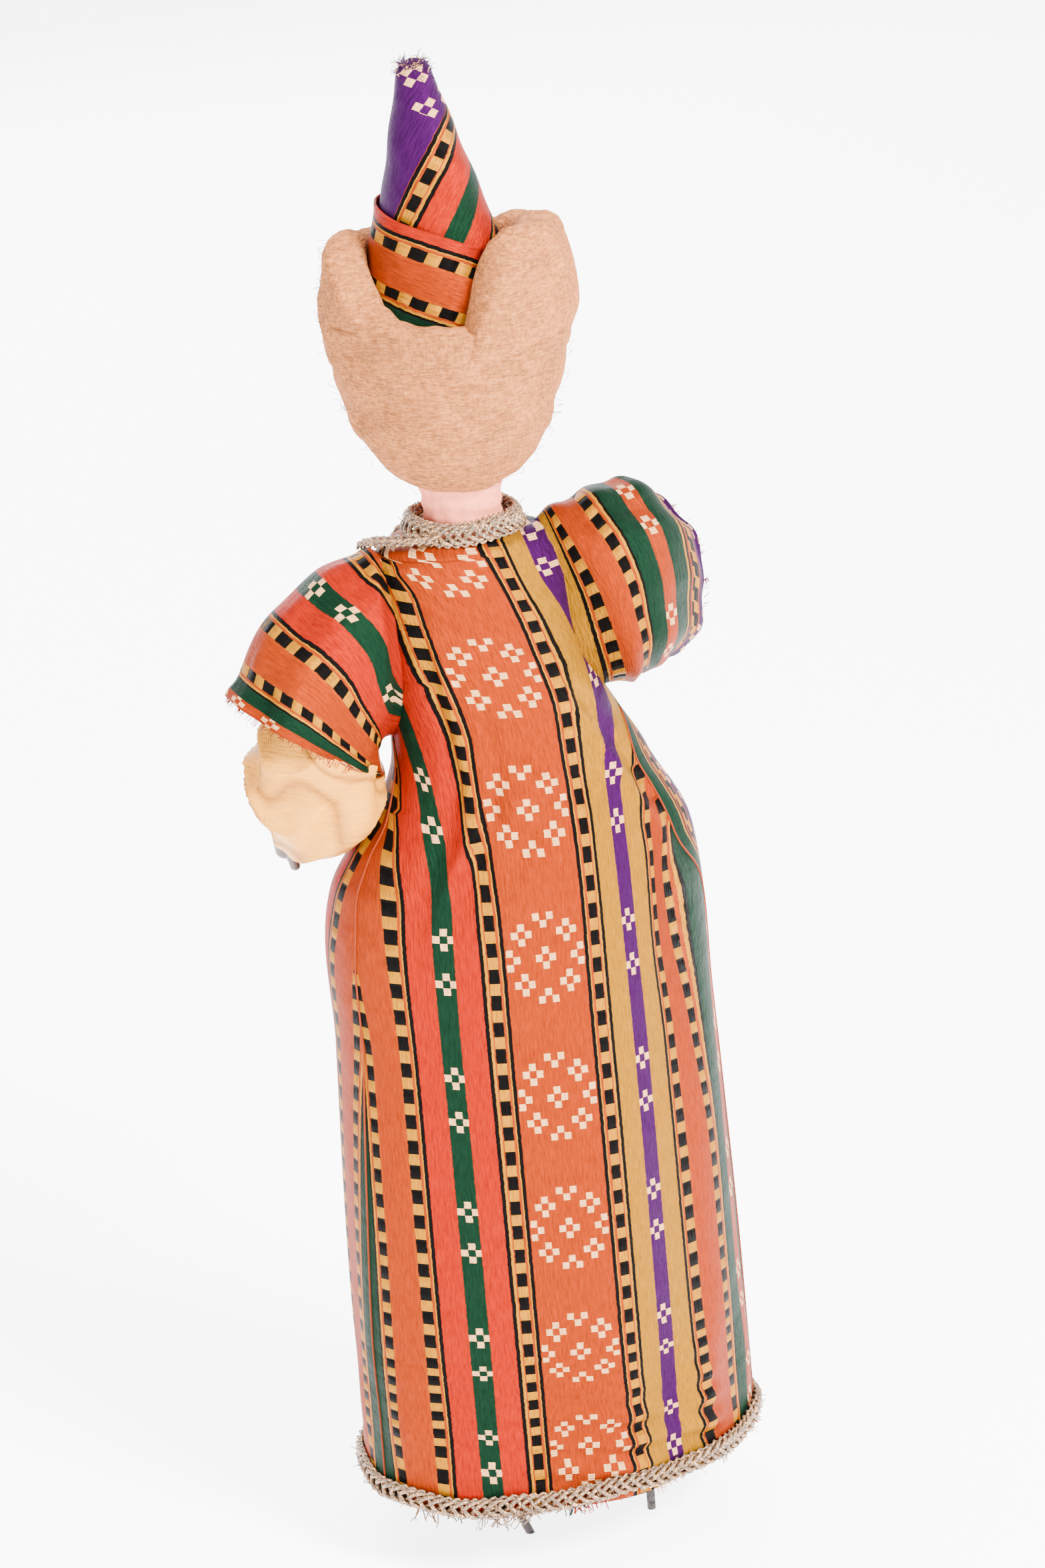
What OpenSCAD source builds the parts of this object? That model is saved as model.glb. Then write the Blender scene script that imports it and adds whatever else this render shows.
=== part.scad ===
// Costumed puppet figure: a wooden body block on wire legs, a turning head, and
// two jointed wire arms, dressed in a striped robe, a cream shirt, a turban and a cone cap.
// Lengths are millimetres. The figure faces -Y, +X is its own left, and it stands on z = 0.

/* [Legs] */
// Radius of the steel leg wires and of the shoulder pin
wire_r = 0.8; // [0.7:0.05:0.9]
// Length of the straight pin at the foot of each leg wire
foot_pin_l = 11; // [9:1:13]

/* [Robe] */
// Height of the hem above the floor
hem_z = 16; // [15:1:18]
// Half the width of the skirt at the hem
skirt_half_w = 37; // [36:1:39]
// Half the depth of the skirt at the hem
skirt_half_d = 26; // [25:1:27]
// Thickness of the robe cloth
cloth = 0.8; // [0.6:0.1:1]
// Width of the metal-thread braid
braid_w = 4.6; // [3.6:0.2:5]

/* [Body] */
// Radius of the wooden body block
block_r = 8; // [7:0.5:8.5]
// Height of the shoulder pin
shoulder_z = 174.6; // [174:0.2:175]

/* [Head] */
// Radius of the neck
neck_r = 6.9; // [6.4:0.1:7]
// Largest radius of the head ball
head_r = 17; // [16:0.5:17.5]
// Largest radius of the turban
turban_r = 22.2; // [21.6:0.2:23]

/* [Cap] */
// Radius of the cap where it stands on the head
cap_base_r = 12.6; // [12:0.2:13]
// Radius of the cap at its blunt tip
cap_tip_r = 1.8; // [1.6:0.2:2.4]
// Height of the cap
cap_h = 41.5; // [40:0.5:44]
// Sideways lean of the cap, in degrees
cap_lean = 3; // [0:1:4]

/* [Arms] */
// Radius of the left shirt sleeve's puff
puff_left_r = 11.8; // [11.4:0.1:12]
// Radius of the right shirt sleeve's puff
puff_right_r = 7.4; // [7:0.1:7.6]
// Radius of the wooden forearm rods
forearm_r = 1.2; // [1:0.1:1.4]

/* [Hidden] */

// The neck axis is x = 0, y = 0 in the modules; the row's origin is under the middle of the
// bounding box, so every node is shifted by the same amount.
origin_x = -0.4;
origin_y = -6.06;

fine = 48;
fit = 0.06;          // running clearance of a shaft in its hole
seat = 0.05;         // gap between glued pieces
bend_r = wire_r + 0.06;

block_base_z = 96;
block_top_z = 187;
neck_bore_z = 179;
dowel_r = 2;

robe_top_z = 193;
shirt_gap = 1.4;
former_gap = 3;
former_top_z = 128;

// Robe outline by height: z, centre x, centre y, half width, half depth
robe_rows = [
    [hem_z, -2, 5, skirt_half_w, skirt_half_d],
    [60, -2, 5, skirt_half_w - 0.6, skirt_half_d - 1],
    [100, -2.4, 4.5, skirt_half_w - 2, skirt_half_d - 2],
    [130, -3, 4, skirt_half_w - 3.4, skirt_half_d - 4],
    [137, -4.6, 3.6, skirt_half_w - 6.4, skirt_half_d - 5.5],
    [143, -5.6, 3.2, skirt_half_w - 10.6, skirt_half_d - 7],
    [149, -5.6, 2.6, skirt_half_w - 13.6, skirt_half_d - 8.6],
    [157, -4, 2, skirt_half_w - 16.4, skirt_half_d - 10.5],
    [168, -1, 1, 18.2, 14],
    [178, 0, 0.5, 18, 13.2],
    [186, 0, 0, 17.6, 12.4],
    [189.6, 0, 0, 16.4, 11.4],
    [191.8, 0, 0, 13.6, 10.2],
    [robe_top_z, 0, 0, 8.8, 8.8]
];
robe_ring_z = [for (row = robe_rows) row[0]];

function column(k) = [for (row = robe_rows) [row[0], row[k]]];
centre_x_at = column(1);
centre_y_at = column(2);
half_w_at = column(3);
half_d_at = column(4);

// A point on the robe at height z and angle phi from the front, moved outward by off
function robe_point(z, phi, off) = [
    lookup(z, centre_x_at) + (lookup(z, half_w_at) + off) * sin(phi),
    lookup(z, centre_y_at) - (lookup(z, half_d_at) + off) * cos(phi),
    z
];

// Half of the front opening, as an angle, by height
gap_at = [[hem_z, 13], [100, 9], [150, 12], [185, 26], [robe_top_z, 40]];
function front_gap(z) = lookup(z, gap_at);

// A four-cornered face as two triangles
function split(q) = [[q[0], q[1], q[2]], [q[0], q[2], q[3]]];

// Closed solid between two offsets of the robe outline, over the given heights and angles
module robe_patch(heights, start_at, sweep_at, steps, inner, outer) {
    rows = len(heights);
    across = steps + 1;
    points = [for (off = [inner, outer], z = heights, i = [0:steps])
        robe_point(z, lookup(z, start_at) + lookup(z, sweep_at) * i / steps, off)];
    side = rows * across;
    function at(layer, r, i) = layer * side + r * across + i;
    inside = [for (r = [0:rows - 2], i = [0:steps - 1])
        each split([at(0, r, i), at(0, r, i + 1), at(0, r + 1, i + 1), at(0, r + 1, i)])];
    outside = [for (r = [0:rows - 2], i = [0:steps - 1])
        each split([at(1, r + 1, i), at(1, r + 1, i + 1), at(1, r, i + 1), at(1, r, i)])];
    ends = [for (i = [0:steps - 1], row = [0, rows - 1]) each split(row == 0
        ? [at(0, 0, i), at(1, 0, i), at(1, 0, i + 1), at(0, 0, i + 1)]
        : [at(0, row, i), at(0, row, i + 1), at(1, row, i + 1), at(1, row, i)])];
    edges = [for (r = [0:rows - 2], i = [0, steps]) each split(i == 0
        ? [at(0, r, 0), at(0, r + 1, 0), at(1, r + 1, 0), at(1, r, 0)]
        : [at(0, r, steps), at(1, r, steps), at(1, r + 1, steps), at(0, r + 1, steps)])];
    polyhedron(points, concat(inside, outside, ends, edges));
}

// Full ring of the robe outline between two offsets, over the given heights
module robe_ring(heights, steps, inner, outer) {
    rows = len(heights);
    points = [for (off = [inner, outer], z = heights, i = [0:steps - 1])
        robe_point(z, 360 * i / steps, off)];
    side = rows * steps;
    function at(layer, r, i) = layer * side + r * steps + i % steps;
    inside = [for (r = [0:rows - 2], i = [0:steps - 1])
        each split([at(0, r, i), at(0, r, i + 1), at(0, r + 1, i + 1), at(0, r + 1, i)])];
    outside = [for (r = [0:rows - 2], i = [0:steps - 1])
        each split([at(1, r + 1, i), at(1, r + 1, i + 1), at(1, r, i + 1), at(1, r, i)])];
    ends = [for (i = [0:steps - 1], row = [0, rows - 1]) each split(row == 0
        ? [at(0, 0, i), at(1, 0, i), at(1, 0, i + 1), at(0, 0, i + 1)]
        : [at(0, row, i), at(0, row, i + 1), at(1, row, i + 1), at(1, row, i)])];
    polyhedron(points, concat(inside, outside, ends));
}

// Hollow tube through a list of rings, each [centre, half axis, half axis]
module ring_tube(rings, wall, steps) {
    rows = len(rings);
    function shrink(v, by) = v * (1 - by / norm(v));
    points = [for (by = [wall, 0], ring = rings, i = [0:steps - 1])
        ring[0] + shrink(ring[1], by) * cos(360 * i / steps)
                + shrink(ring[2], by) * sin(360 * i / steps)];
    side = rows * steps;
    function at(layer, r, i) = layer * side + r * steps + i % steps;
    inside = [for (r = [0:rows - 2], i = [0:steps - 1])
        each split([at(0, r, i), at(0, r, i + 1), at(0, r + 1, i + 1), at(0, r + 1, i)])];
    outside = [for (r = [0:rows - 2], i = [0:steps - 1])
        each split([at(1, r + 1, i), at(1, r + 1, i + 1), at(1, r, i + 1), at(1, r, i)])];
    ends = [for (i = [0:steps - 1], row = [0, rows - 1]) each split(row == 0
        ? [at(0, 0, i), at(1, 0, i), at(1, 0, i + 1), at(0, 0, i + 1)]
        : [at(0, row, i), at(0, row, i + 1), at(1, row, i + 1), at(1, row, i)])];
    polyhedron(points, concat(inside, outside, ends));
}

// Round rod from point a to point b
module rod(a, b, r, r_end = undef) {
    d = b - a;
    translate(a)
        rotate([0, acos(d[2] / norm(d)), atan2(d[1], d[0])])
            cylinder(h = norm(d), r1 = r, r2 = is_undef(r_end) ? r : r_end, $fn = fine);
}

// Cylinder along X, centred on a point
module cross_rod(centre, length, r) {
    translate(centre - [length / 2, 0, 0]) rotate([0, 90, 0]) cylinder(h = length, r = r, $fn = fine);
}

// ---- Body block and legs ----

// Where each leg wire leaves the block, its last bend, and its tip on the floor
leg_rows = [
    ["rear_left", [5, 4.5], [9.8, 8.8, 9], [6.4, 11.2, 0]],
    ["rear_right", [-5, 4.5], [-17.3, 11.3, foot_pin_l], [-17.3, 11.3, 0]],
    ["front_left", [5, -4.5], [13, -13, foot_pin_l], [13, -13, 0]],
    ["front_right", [-5, -4.5], [-15, -13, foot_pin_l], [-15, -13, 0]]
];
leg_socket_l = 16;

module leg_wire(row) {
    root = [row[1][0], row[1][1], block_base_z - 2];
    foot = row[3] + unit(row[3] - row[2]);
    color("#5b4a40") difference() {
        union() {
            translate(root) cylinder(h = leg_socket_l, r = wire_r, $fn = fine);
            translate(root) sphere(r = bend_r, $fn = fine);
            rod(row[2], root, wire_r);
            translate(row[2]) sphere(r = bend_r, $fn = fine);
            rod(foot, row[2], wire_r);
        }
        translate([-50, -50, -10]) cube([100, 100, 10]);
    }
}

module torso_block() {
    color("#b58d5c") difference() {
        translate([0, 0, block_base_z]) cylinder(h = block_top_z - block_base_z, r = block_r, $fn = fine);
        translate([0, 0, neck_bore_z]) cylinder(h = 20, r = dowel_r + fit, $fn = fine);
        cross_rod([0, 0, shoulder_z], 40, wire_r + seat);
        for (row = leg_rows)
            translate([row[1][0], row[1][1], block_base_z - 3])
                cylinder(h = leg_socket_l + 3, r = bend_r + seat, $fn = fine);
    }
}

eye_x = 20.6;
eye_w = 1.6;
washer_w = 0.8;

module shoulder_pin() {
    color("#8a8784") cross_rod([0, 0, shoulder_z], 2 * (eye_x + eye_w / 2 + washer_w + 0.6), wire_r);
}

module shoulder_washers() {
    color("#8a8784") for (side = [-1, 1]) difference() {
        cross_rod([side * (eye_x + eye_w / 2 + 0.2 + washer_w / 2), 0, shoulder_z], washer_w, 1.5);
        cross_rod([side * (eye_x + 2), 0, shoulder_z], 8, wire_r + 0.02);
    }
}

// ---- Soft pieces of the body ----

module skirt_former() {
    heights = [hem_z + 8, 60, 100, former_top_z];
    color("#c8b48c") robe_ring(heights, 36, -former_gap - 0.8, -former_gap);
}

module chest_padding() {
    color("#d8c9ab") difference() {
        union() {
            translate([0, 0.5, 132]) cylinder(h = 18, r1 = 13, r2 = 11.4, $fn = fine);
            translate([0, 0.5, 150]) cylinder(h = 20, r1 = 11.4, r2 = 9.6, $fn = fine);
        }
        translate([0, 0, 120]) cylinder(h = 60, r = block_r + seat, $fn = fine);
    }
}

armhole_r = 8.5;
module armholes(r) {
    for (side = [-1, 1])
        translate([side * 8.4, 0, shoulder_z]) rotate([0, side * 90, 0]) cylinder(h = 30, r = r, $fn = 28);
}

module shirt_body() {
    heights = [hem_z + 12, for (z = robe_ring_z) if (z > hem_z + 20 && z < 190) z, 190];
    color("#f2dfa6") difference() {
        robe_ring(heights, 32, -shirt_gap - 0.6, -shirt_gap);
        armholes(armhole_r - 1);
    }
}

module robe_body() {
    start_at = [for (g = gap_at) [g[0], g[1]]];
    sweep_at = [for (g = gap_at) [g[0], 360 - 2 * g[1]]];
    color("#d96a35") difference() {
        robe_patch(robe_ring_z, start_at, sweep_at, 44, -cloth, 0);
        armholes(armhole_r);
    }
}

module collar_braid() {
    color("#a39682") difference() {
        translate([0, 0, robe_top_z + 0.1]) cylinder(h = 3.2, r1 = neck_r + 2.9, r2 = neck_r + 1.5, $fn = fine);
        translate([0, 0, robe_top_z - 1]) cylinder(h = 6, r = neck_r + 0.4, $fn = fine);
    }
}

// Braid on a front edge, from the hem braid up to the collar; side is 1 for left, -1 for right
module front_braid(side) {
    strip = 4;
    heights = [hem_z + braid_w + 0.6, for (z = robe_ring_z) if (z > hem_z + 10 && z < robe_top_z) z, 192.6];
    width_at = [for (z = heights)
        [z, strip * 57.3 / norm([lookup(z, half_w_at) * cos(front_gap(z)),
                                 lookup(z, half_d_at) * sin(front_gap(z))])]];
    start_at = side > 0
        ? [for (w = width_at) [w[0], front_gap(w[0])]]
        : [for (w = width_at) [w[0], 360 - front_gap(w[0]) - w[1]]];
    color("#a39682") robe_patch(heights, start_at, width_at, 3, 0.3, 1.3);
}

module hem_braid() {
    color("#a39682") robe_ring([hem_z - 0.6, hem_z + braid_w], 44, 0.3, 1.5);
}

// ---- Head ----

neck_top_z = 203.5;
head_top_z = 235;

module neck_dowel() {
    color("#b58d5c") translate([0, 0, neck_bore_z + 1]) cylinder(h = 32, r = dowel_r, $fn = fine);
}

module neck_sleeve() {
    color("#eec9b4") difference() {
        translate([0, 0, block_top_z + 0.4])
            cylinder(h = neck_top_z - block_top_z - 0.4, r = neck_r, $fn = fine);
        translate([0, 0, block_top_z - 1]) cylinder(h = 30, r = dowel_r + seat, $fn = fine);
    }
}

// Head ball: a truncated sphere with a socket for the neck dowel
head_mid_z = 219;
head_ball_r = head_r - 1.4;
module head_ball() {
    color("#e3bfa2") difference() {
        translate([0, 0, head_mid_z]) sphere(r = head_ball_r, $fn = fine);
        translate([0, 0, head_top_z]) cylinder(h = 20, r = 30, $fn = fine);
        translate([0, 0, neck_top_z - 20 + seat]) cylinder(h = 20, r = 30, $fn = fine);
        translate([0, 0, neck_top_z - 1]) cylinder(h = 10, r = dowel_r + seat, $fn = fine);
        for (side = [-1, 1]) translate(eye_place(side)) sphere(r = eye_r + seat, $fn = 24);
    }
}

eye_r = 1.7;
eye_turn = 21;
eye_z = 219.5;
function eye_place(side) = [
    side * (head_ball_r + 0.5) * sin(eye_turn), -(head_ball_r + 0.5) * cos(eye_turn), eye_z];

// Face: the front part of a shell over the head ball, with a nose
module face_mask() {
    half = 60;
    turns = [-48, -36, -24, -12, 0, 12, 24];
    outer = [for (t = turns) [head_r * cos(t), head_mid_z + head_r * sin(t)]];
    inner = [for (i = [len(turns) - 1:-1:0])
        [(head_ball_r + 0.3) * cos(turns[i]), head_mid_z + (head_ball_r + 0.3) * sin(turns[i])]];
    color("#e3bfa2") difference() {
        union() {
            rotate([0, 0, -90 - half]) rotate_extrude(angle = 2 * half, $fn = fine) polygon(concat(outer, inner));
            rod([0, 0.4 - head_r, 221.4], [0, -head_r - 1.1, 215.8], 0.8, 1.5);
            translate([0, -head_r - 1, 215.6]) sphere(r = 1.75, $fn = 24);
        }
        for (side = [-1, 1]) translate(eye_place(side)) sphere(r = eye_r + seat, $fn = 24);
    }
}

module eye_beads() {
    color("#2b2018") for (side = [-1, 1]) translate(eye_place(side)) sphere(r = eye_r, $fn = 24);
}

// The wadding sits a little to the right of the neck axis
turban_dx = -0.6;

// Wadding over the back and sides of the head, open at the face
module nape_wrap() {
    opening = 62;
    color("#d3ab7b") difference() {
        rotate([0, 0, -90 + opening]) rotate_extrude(angle = 360 - 2 * opening, $fn = fine)
            polygon([[neck_r + 0.6, 201.4], [12, 204.2], [16.5, 210.5], [19.6, 218],
                [22, 226.2], [15, 226.2], [head_r + 0.3, 219], [14, 209.2], [neck_r + 0.6, 205]]);
        translate([0, 0, head_mid_z]) sphere(r = head_r + 0.2, $fn = fine);
        translate([0, 0, 190]) cylinder(h = 14, r = neck_r + 0.3, $fn = fine);
    }
}

module turban_roll() {
    color("#d9b384") difference() {
        translate([turban_dx, 0, 0]) rotate_extrude($fn = fine)
            polygon([[15.4, 226.5], [21.6, 226.5], [turban_r, 231], [turban_r - 0.8, 237],
                [turban_r - 2.6, 241.5], [18.4, 244], [16.4, 243], [15.4, 238.5], [15.4, 229]]);
        translate([0, 0, head_mid_z]) sphere(r = head_r + 0.2, $fn = fine);
    }
}

// Upper fold of the turban, on the right side
module turban_fold() {
    color("#d9b384") difference() {
        translate([turban_dx, 0, 0]) rotate([0, 0, 95]) rotate_extrude(angle = 170, $fn = fine)
            polygon([[15.6, 243.6], [16, 243.3], [18.4, 244.3], [20.4, 241.9],
                [20.2, 244.5], [17.6, 248], [14.8, 246.6], [14.2, 243.4], [14.8, 240.8]]);
        translate([0, 0, 200]) cylinder(h = 60, r = 14.4, $fn = fine);
    }
}

module on_cap() {
    translate([0, 0, head_top_z + seat]) rotate([0, cap_lean, 0]) children();
}

// Cone shell between two heights of the cap, the inner face standing off by gap
module cap_shell(from_h, to_h, gap, wall) {
    slope = (cap_base_r - cap_tip_r) / cap_h;
    over = 1;
    function r_at(h) = cap_base_r - slope * h;
    difference() {
        translate([0, 0, from_h])
            cylinder(h = to_h - from_h, r1 = r_at(from_h) + gap + wall, r2 = r_at(to_h) + gap + wall, $fn = fine);
        translate([0, 0, from_h - over])
            cylinder(h = to_h - from_h + 2 * over, r1 = r_at(from_h - over) + gap,
                r2 = r_at(to_h + over) + gap, $fn = fine);
    }
}

module cap_former() {
    color("#cdb58a") on_cap() cap_shell(0.8, cap_h - 1, -0.5, 0.5);
}

module cap_lower_cover() {
    color("#d9692e") on_cap() cap_shell(0.8, 21, 0.75, 0.65);
}

module cap_upper_cover() {
    color("#7b2f98") on_cap() union() {
        cap_shell(0.8, cap_h, seat, 0.65);
        translate([0, 0, cap_h - 0.8]) cylinder(h = 1.6, r = cap_tip_r + 0.4, $fn = fine);
    }
}

// ---- Arms: side is 1 for left, -1 for right ----

function elbow(side) = side > 0 ? [32.8, 4, 148.6] : [-38, -17, 168];
function wrist(side) = side > 0 ? [35, -7.6, 139.6] : [-34, -32.5, 165];
function shoulder(side) = [side * eye_x, 0, shoulder_z];
function unit(v) = v / norm(v);
function puff_r(side) = side > 0 ? puff_left_r : puff_right_r;
elbow_eye_w = 1;
elbow_eye_dx = 0.7;
eye_outer_r = 2.2;
padding_r = 3;

// Direction from shoulder to elbow as seen along the shoulder pin
function arm_down(side) = unit([0, elbow(side)[1], elbow(side)[2] - shoulder_z]);
function eye_end(side) = elbow(side) - [side * elbow_eye_dx, 0, 0];
shank = 4.2;

module upper_arm_wire(side) {
    s = shoulder(side);
    e = eye_end(side);
    upper_bend = s + arm_down(side) * shank;
    lower_bend = e - arm_down(side) * shank;
    color("#8a8784") difference() {
        union() {
            cross_rod(s, eye_w, eye_outer_r);
            rod(s + arm_down(side) * 1.4, upper_bend, 0.7);
            translate(upper_bend) sphere(r = 0.75, $fn = 24);
            rod(upper_bend, lower_bend, 0.7);
            translate(lower_bend) sphere(r = 0.75, $fn = 24);
            rod(lower_bend, e - arm_down(side) * 1.4, 0.45);
            cross_rod(e, elbow_eye_w, eye_outer_r);
        }
        cross_rod(s, 6, wire_r + fit);
        cross_rod(e, 6, wire_r + 0.02);
    }
}

module elbow_pin(side) {
    e = elbow(side);
    color("#8a8784") union() {
        cross_rod(e, 3.4, wire_r);
        for (end = [-1, 1]) cross_rod(e + [end * 1.9, 0, 0], 0.8, 1.3);
    }
}

module arm_padding(side) {
    from = shoulder(side) + arm_down(side) * shank;
    to = eye_end(side) - arm_down(side) * shank;
    along = unit(to - from);
    reach = norm(to - from) - puff_r(side) + 1.8;
    color("#d8c9ab") difference() {
        rod(from + along * 1, from + along * reach, padding_r);
        rod(from - along, to + along, 0.7 + seat);
    }
}

// Rings of each robe sleeve from the armhole to the opening
sleeve_left_rings = [
    [[19.1, 0, 173.4], [0, 0, 17], [0, 12, 0]],
    [[23.4, 0.4, 171.2], [3.6, 0, 17.4], [0, 12.4, 0]],
    [[27.6, 0.8, 166.4], [8, 0, 16], [0, 12.4, 0]],
    [[31.6, 1.4, 161.2], [11.9, 0, 9.6], [0, 12.2, 0]]
];
sleeve_right_rings = [
    [[-23.2, 0, 177], [4, 0, 16.8], [0, -12, 0]],
    [[-27, -1.4, 177.4], [2, 0, 17.2], [1.6, -12.4, 0]],
    [[-31.4, -5, 177.2], [0, 0, 17.4], [5, -11.6, 0]],
    [[-35.4, -10.6, 175], [0, 0, 15.8], [8, -8.6, 0]]
];

module robe_sleeve(side) {
    rings = side > 0 ? sleeve_left_rings : sleeve_right_rings;
    color("#d96a35") ring_tube([for (i = [3:-1:0]) rings[i]], cloth, 32);
}

function rod_start(side) = elbow(side) + [side * elbow_eye_dx, 0, 0];
function arm_fore(side) = unit(wrist(side) - rod_start(side));

module forearm_rod(side) {
    e = rod_start(side);
    w = wrist(side);
    color("#b58d5c") difference() {
        union() {
            cross_rod(e, elbow_eye_w, eye_outer_r);
            rod(e + arm_fore(side) * 2, w + arm_fore(side) * 2, forearm_r);
        }
        cross_rod(e, 6, wire_r + fit);
        translate(e + [-side * (elbow_eye_w / 2 + 2), 0, 0]) cube([4, 8, 8], center = true);
    }
}

module shirt_sleeve(side) {
    e = elbow(side);
    w = wrist(side);
    r = puff_r(side);
    down = arm_fore(side);
    up = unit(shoulder(side) - e);
    color("#f5e0a4") difference() {
        union() {
            translate(e) sphere(r = r, $fn = fine);
            rod(e + down * (r * 0.45), w - down * 1.2, r * 0.88, 3.2);
        }
        translate(e) sphere(r = r - 1, $fn = fine);
        rod(e + up * 2, e + up * (r + 6), r * 0.74);
        rod(rod_start(side), w + down * 4, forearm_r + seat);
    }
}

module cuff_thread(side) {
    w = wrist(side);
    down = arm_fore(side);
    color("#f5e0a4") difference() {
        rod(w - down * 0.7, w + down * 0.2, 2.9);
        rod(w - down * 3, w + down * 3, forearm_r + seat);
    }
}

// Mitten hand: palm, four joined fingers and a thumb
module hand(side) {
    w = wrist(side);
    down = arm_fore(side);
    inward = [-side, 0, 0];
    palm_end = w + down * 6;
    tip = w + down * 11.4 + inward * 2.4;
    across = unit(cross(down, inward));
    color("#8a5138") difference() {
        union() {
            hull() {
                translate(w + down * 2.2) sphere(r = 1.9, $fn = 20);
                for (k = [-1, 1]) translate(palm_end + across * 2.2 * k) sphere(r = 1.8, $fn = 20);
            }
            for (k = [-1, -0.33, 0.33, 1]) hull() {
                translate(palm_end + across * 2.4 * k) sphere(r = 1.25, $fn = 14);
                translate(tip + across * 2.2 * k) sphere(r = 1, $fn = 14);
            }
            hull() {
                translate(w + down * 3 + across * 1.8) sphere(r = 1.3, $fn = 14);
                translate(w + down * 6.6 + across * 5.4 + inward * 1.4) sphere(r = 1, $fn = 14);
            }
        }
        rod(w - down * 2, w + down * 2.2, forearm_r + seat);
    }
}

// ---- Output ----

module placed() {
    translate([-origin_x, -origin_y, 0]) children();
}

placed() torso_block();
placed() shoulder_pin();
placed() shoulder_washers();
placed() leg_wire(leg_rows[0]);  // leg_wire_rear_left
placed() leg_wire(leg_rows[1]);  // leg_wire_rear_right
placed() leg_wire(leg_rows[2]);  // leg_wire_front_left
placed() leg_wire(leg_rows[3]);  // leg_wire_front_right
placed() skirt_former();
placed() chest_padding();
placed() shirt_body();
placed() robe_body();
placed() collar_braid();
placed() front_braid(1);  // front_braid_left
placed() front_braid(-1);  // front_braid_right
placed() hem_braid();
placed() neck_dowel();
placed() neck_sleeve();
placed() head_ball();
placed() face_mask();
placed() eye_beads();
placed() nape_wrap();
placed() turban_roll();
placed() turban_fold();
placed() cap_former();
placed() cap_lower_cover();
placed() cap_upper_cover();
placed() upper_arm_wire(1);  // upper_arm_wire_left
placed() elbow_pin(1);  // elbow_pin_left
placed() arm_padding(1);  // arm_padding_left
placed() robe_sleeve(1);  // robe_sleeve_left
placed() forearm_rod(1);  // forearm_rod_left
placed() shirt_sleeve(1);  // shirt_sleeve_left
placed() cuff_thread(1);  // cuff_thread_left
placed() hand(1);  // hand_left
placed() upper_arm_wire(-1);  // upper_arm_wire_right
placed() elbow_pin(-1);  // elbow_pin_right
placed() arm_padding(-1);  // arm_padding_right
placed() robe_sleeve(-1);  // robe_sleeve_right
placed() forearm_rod(-1);  // forearm_rod_right
placed() shirt_sleeve(-1);  // shirt_sleeve_right
placed() cuff_thread(-1);  // cuff_thread_right
placed() hand(-1);  // hand_right
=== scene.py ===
import random
from functools import partial, partialmethod
from math import asin, atan, cos, degrees, pi, radians, sin, sqrt, tau as TAU

import bmesh
import bpy
import numpy as np
from mathutils import Matrix, Vector
from numpy import clip, interp, linspace


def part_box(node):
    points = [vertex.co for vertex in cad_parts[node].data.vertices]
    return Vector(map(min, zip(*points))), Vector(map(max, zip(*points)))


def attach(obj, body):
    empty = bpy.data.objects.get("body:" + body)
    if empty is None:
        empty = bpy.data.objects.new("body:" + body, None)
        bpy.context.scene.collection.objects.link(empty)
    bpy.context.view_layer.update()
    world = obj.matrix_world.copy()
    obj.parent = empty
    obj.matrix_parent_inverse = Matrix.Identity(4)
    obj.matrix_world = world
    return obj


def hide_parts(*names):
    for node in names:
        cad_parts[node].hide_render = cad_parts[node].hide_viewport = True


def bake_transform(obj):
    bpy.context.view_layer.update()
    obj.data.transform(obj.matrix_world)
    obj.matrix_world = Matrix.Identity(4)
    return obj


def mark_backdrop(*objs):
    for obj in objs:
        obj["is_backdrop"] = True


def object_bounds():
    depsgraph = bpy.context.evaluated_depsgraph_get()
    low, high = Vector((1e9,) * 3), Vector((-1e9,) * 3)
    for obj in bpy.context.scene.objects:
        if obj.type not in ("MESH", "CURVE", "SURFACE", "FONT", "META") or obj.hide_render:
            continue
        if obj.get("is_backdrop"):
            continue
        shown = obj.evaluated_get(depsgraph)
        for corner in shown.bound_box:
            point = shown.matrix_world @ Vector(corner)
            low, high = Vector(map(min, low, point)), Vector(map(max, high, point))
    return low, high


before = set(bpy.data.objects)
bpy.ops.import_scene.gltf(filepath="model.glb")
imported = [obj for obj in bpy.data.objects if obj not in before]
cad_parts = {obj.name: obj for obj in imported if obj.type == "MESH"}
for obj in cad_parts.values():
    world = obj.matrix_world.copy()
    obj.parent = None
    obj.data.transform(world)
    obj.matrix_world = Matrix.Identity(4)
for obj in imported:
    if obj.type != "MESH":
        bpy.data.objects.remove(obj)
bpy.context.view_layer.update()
rng = random.Random(7)

# The doll's upright axis is the axis of the wooden core. Lengths below are in millimetres from it:
# +X is the doll's left, -Y is its front.
core_lo, core_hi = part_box("torso_block")
AXIS = ((core_lo.x + core_hi.x) / 2, (core_lo.y + core_hi.y) / 2)
UV_PER_MM = 0.01


def placed(p):
    """Doll millimetres in the scene's metres."""
    return np.asarray(p, float) / 1000 + (*AXIS, 0)


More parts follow.
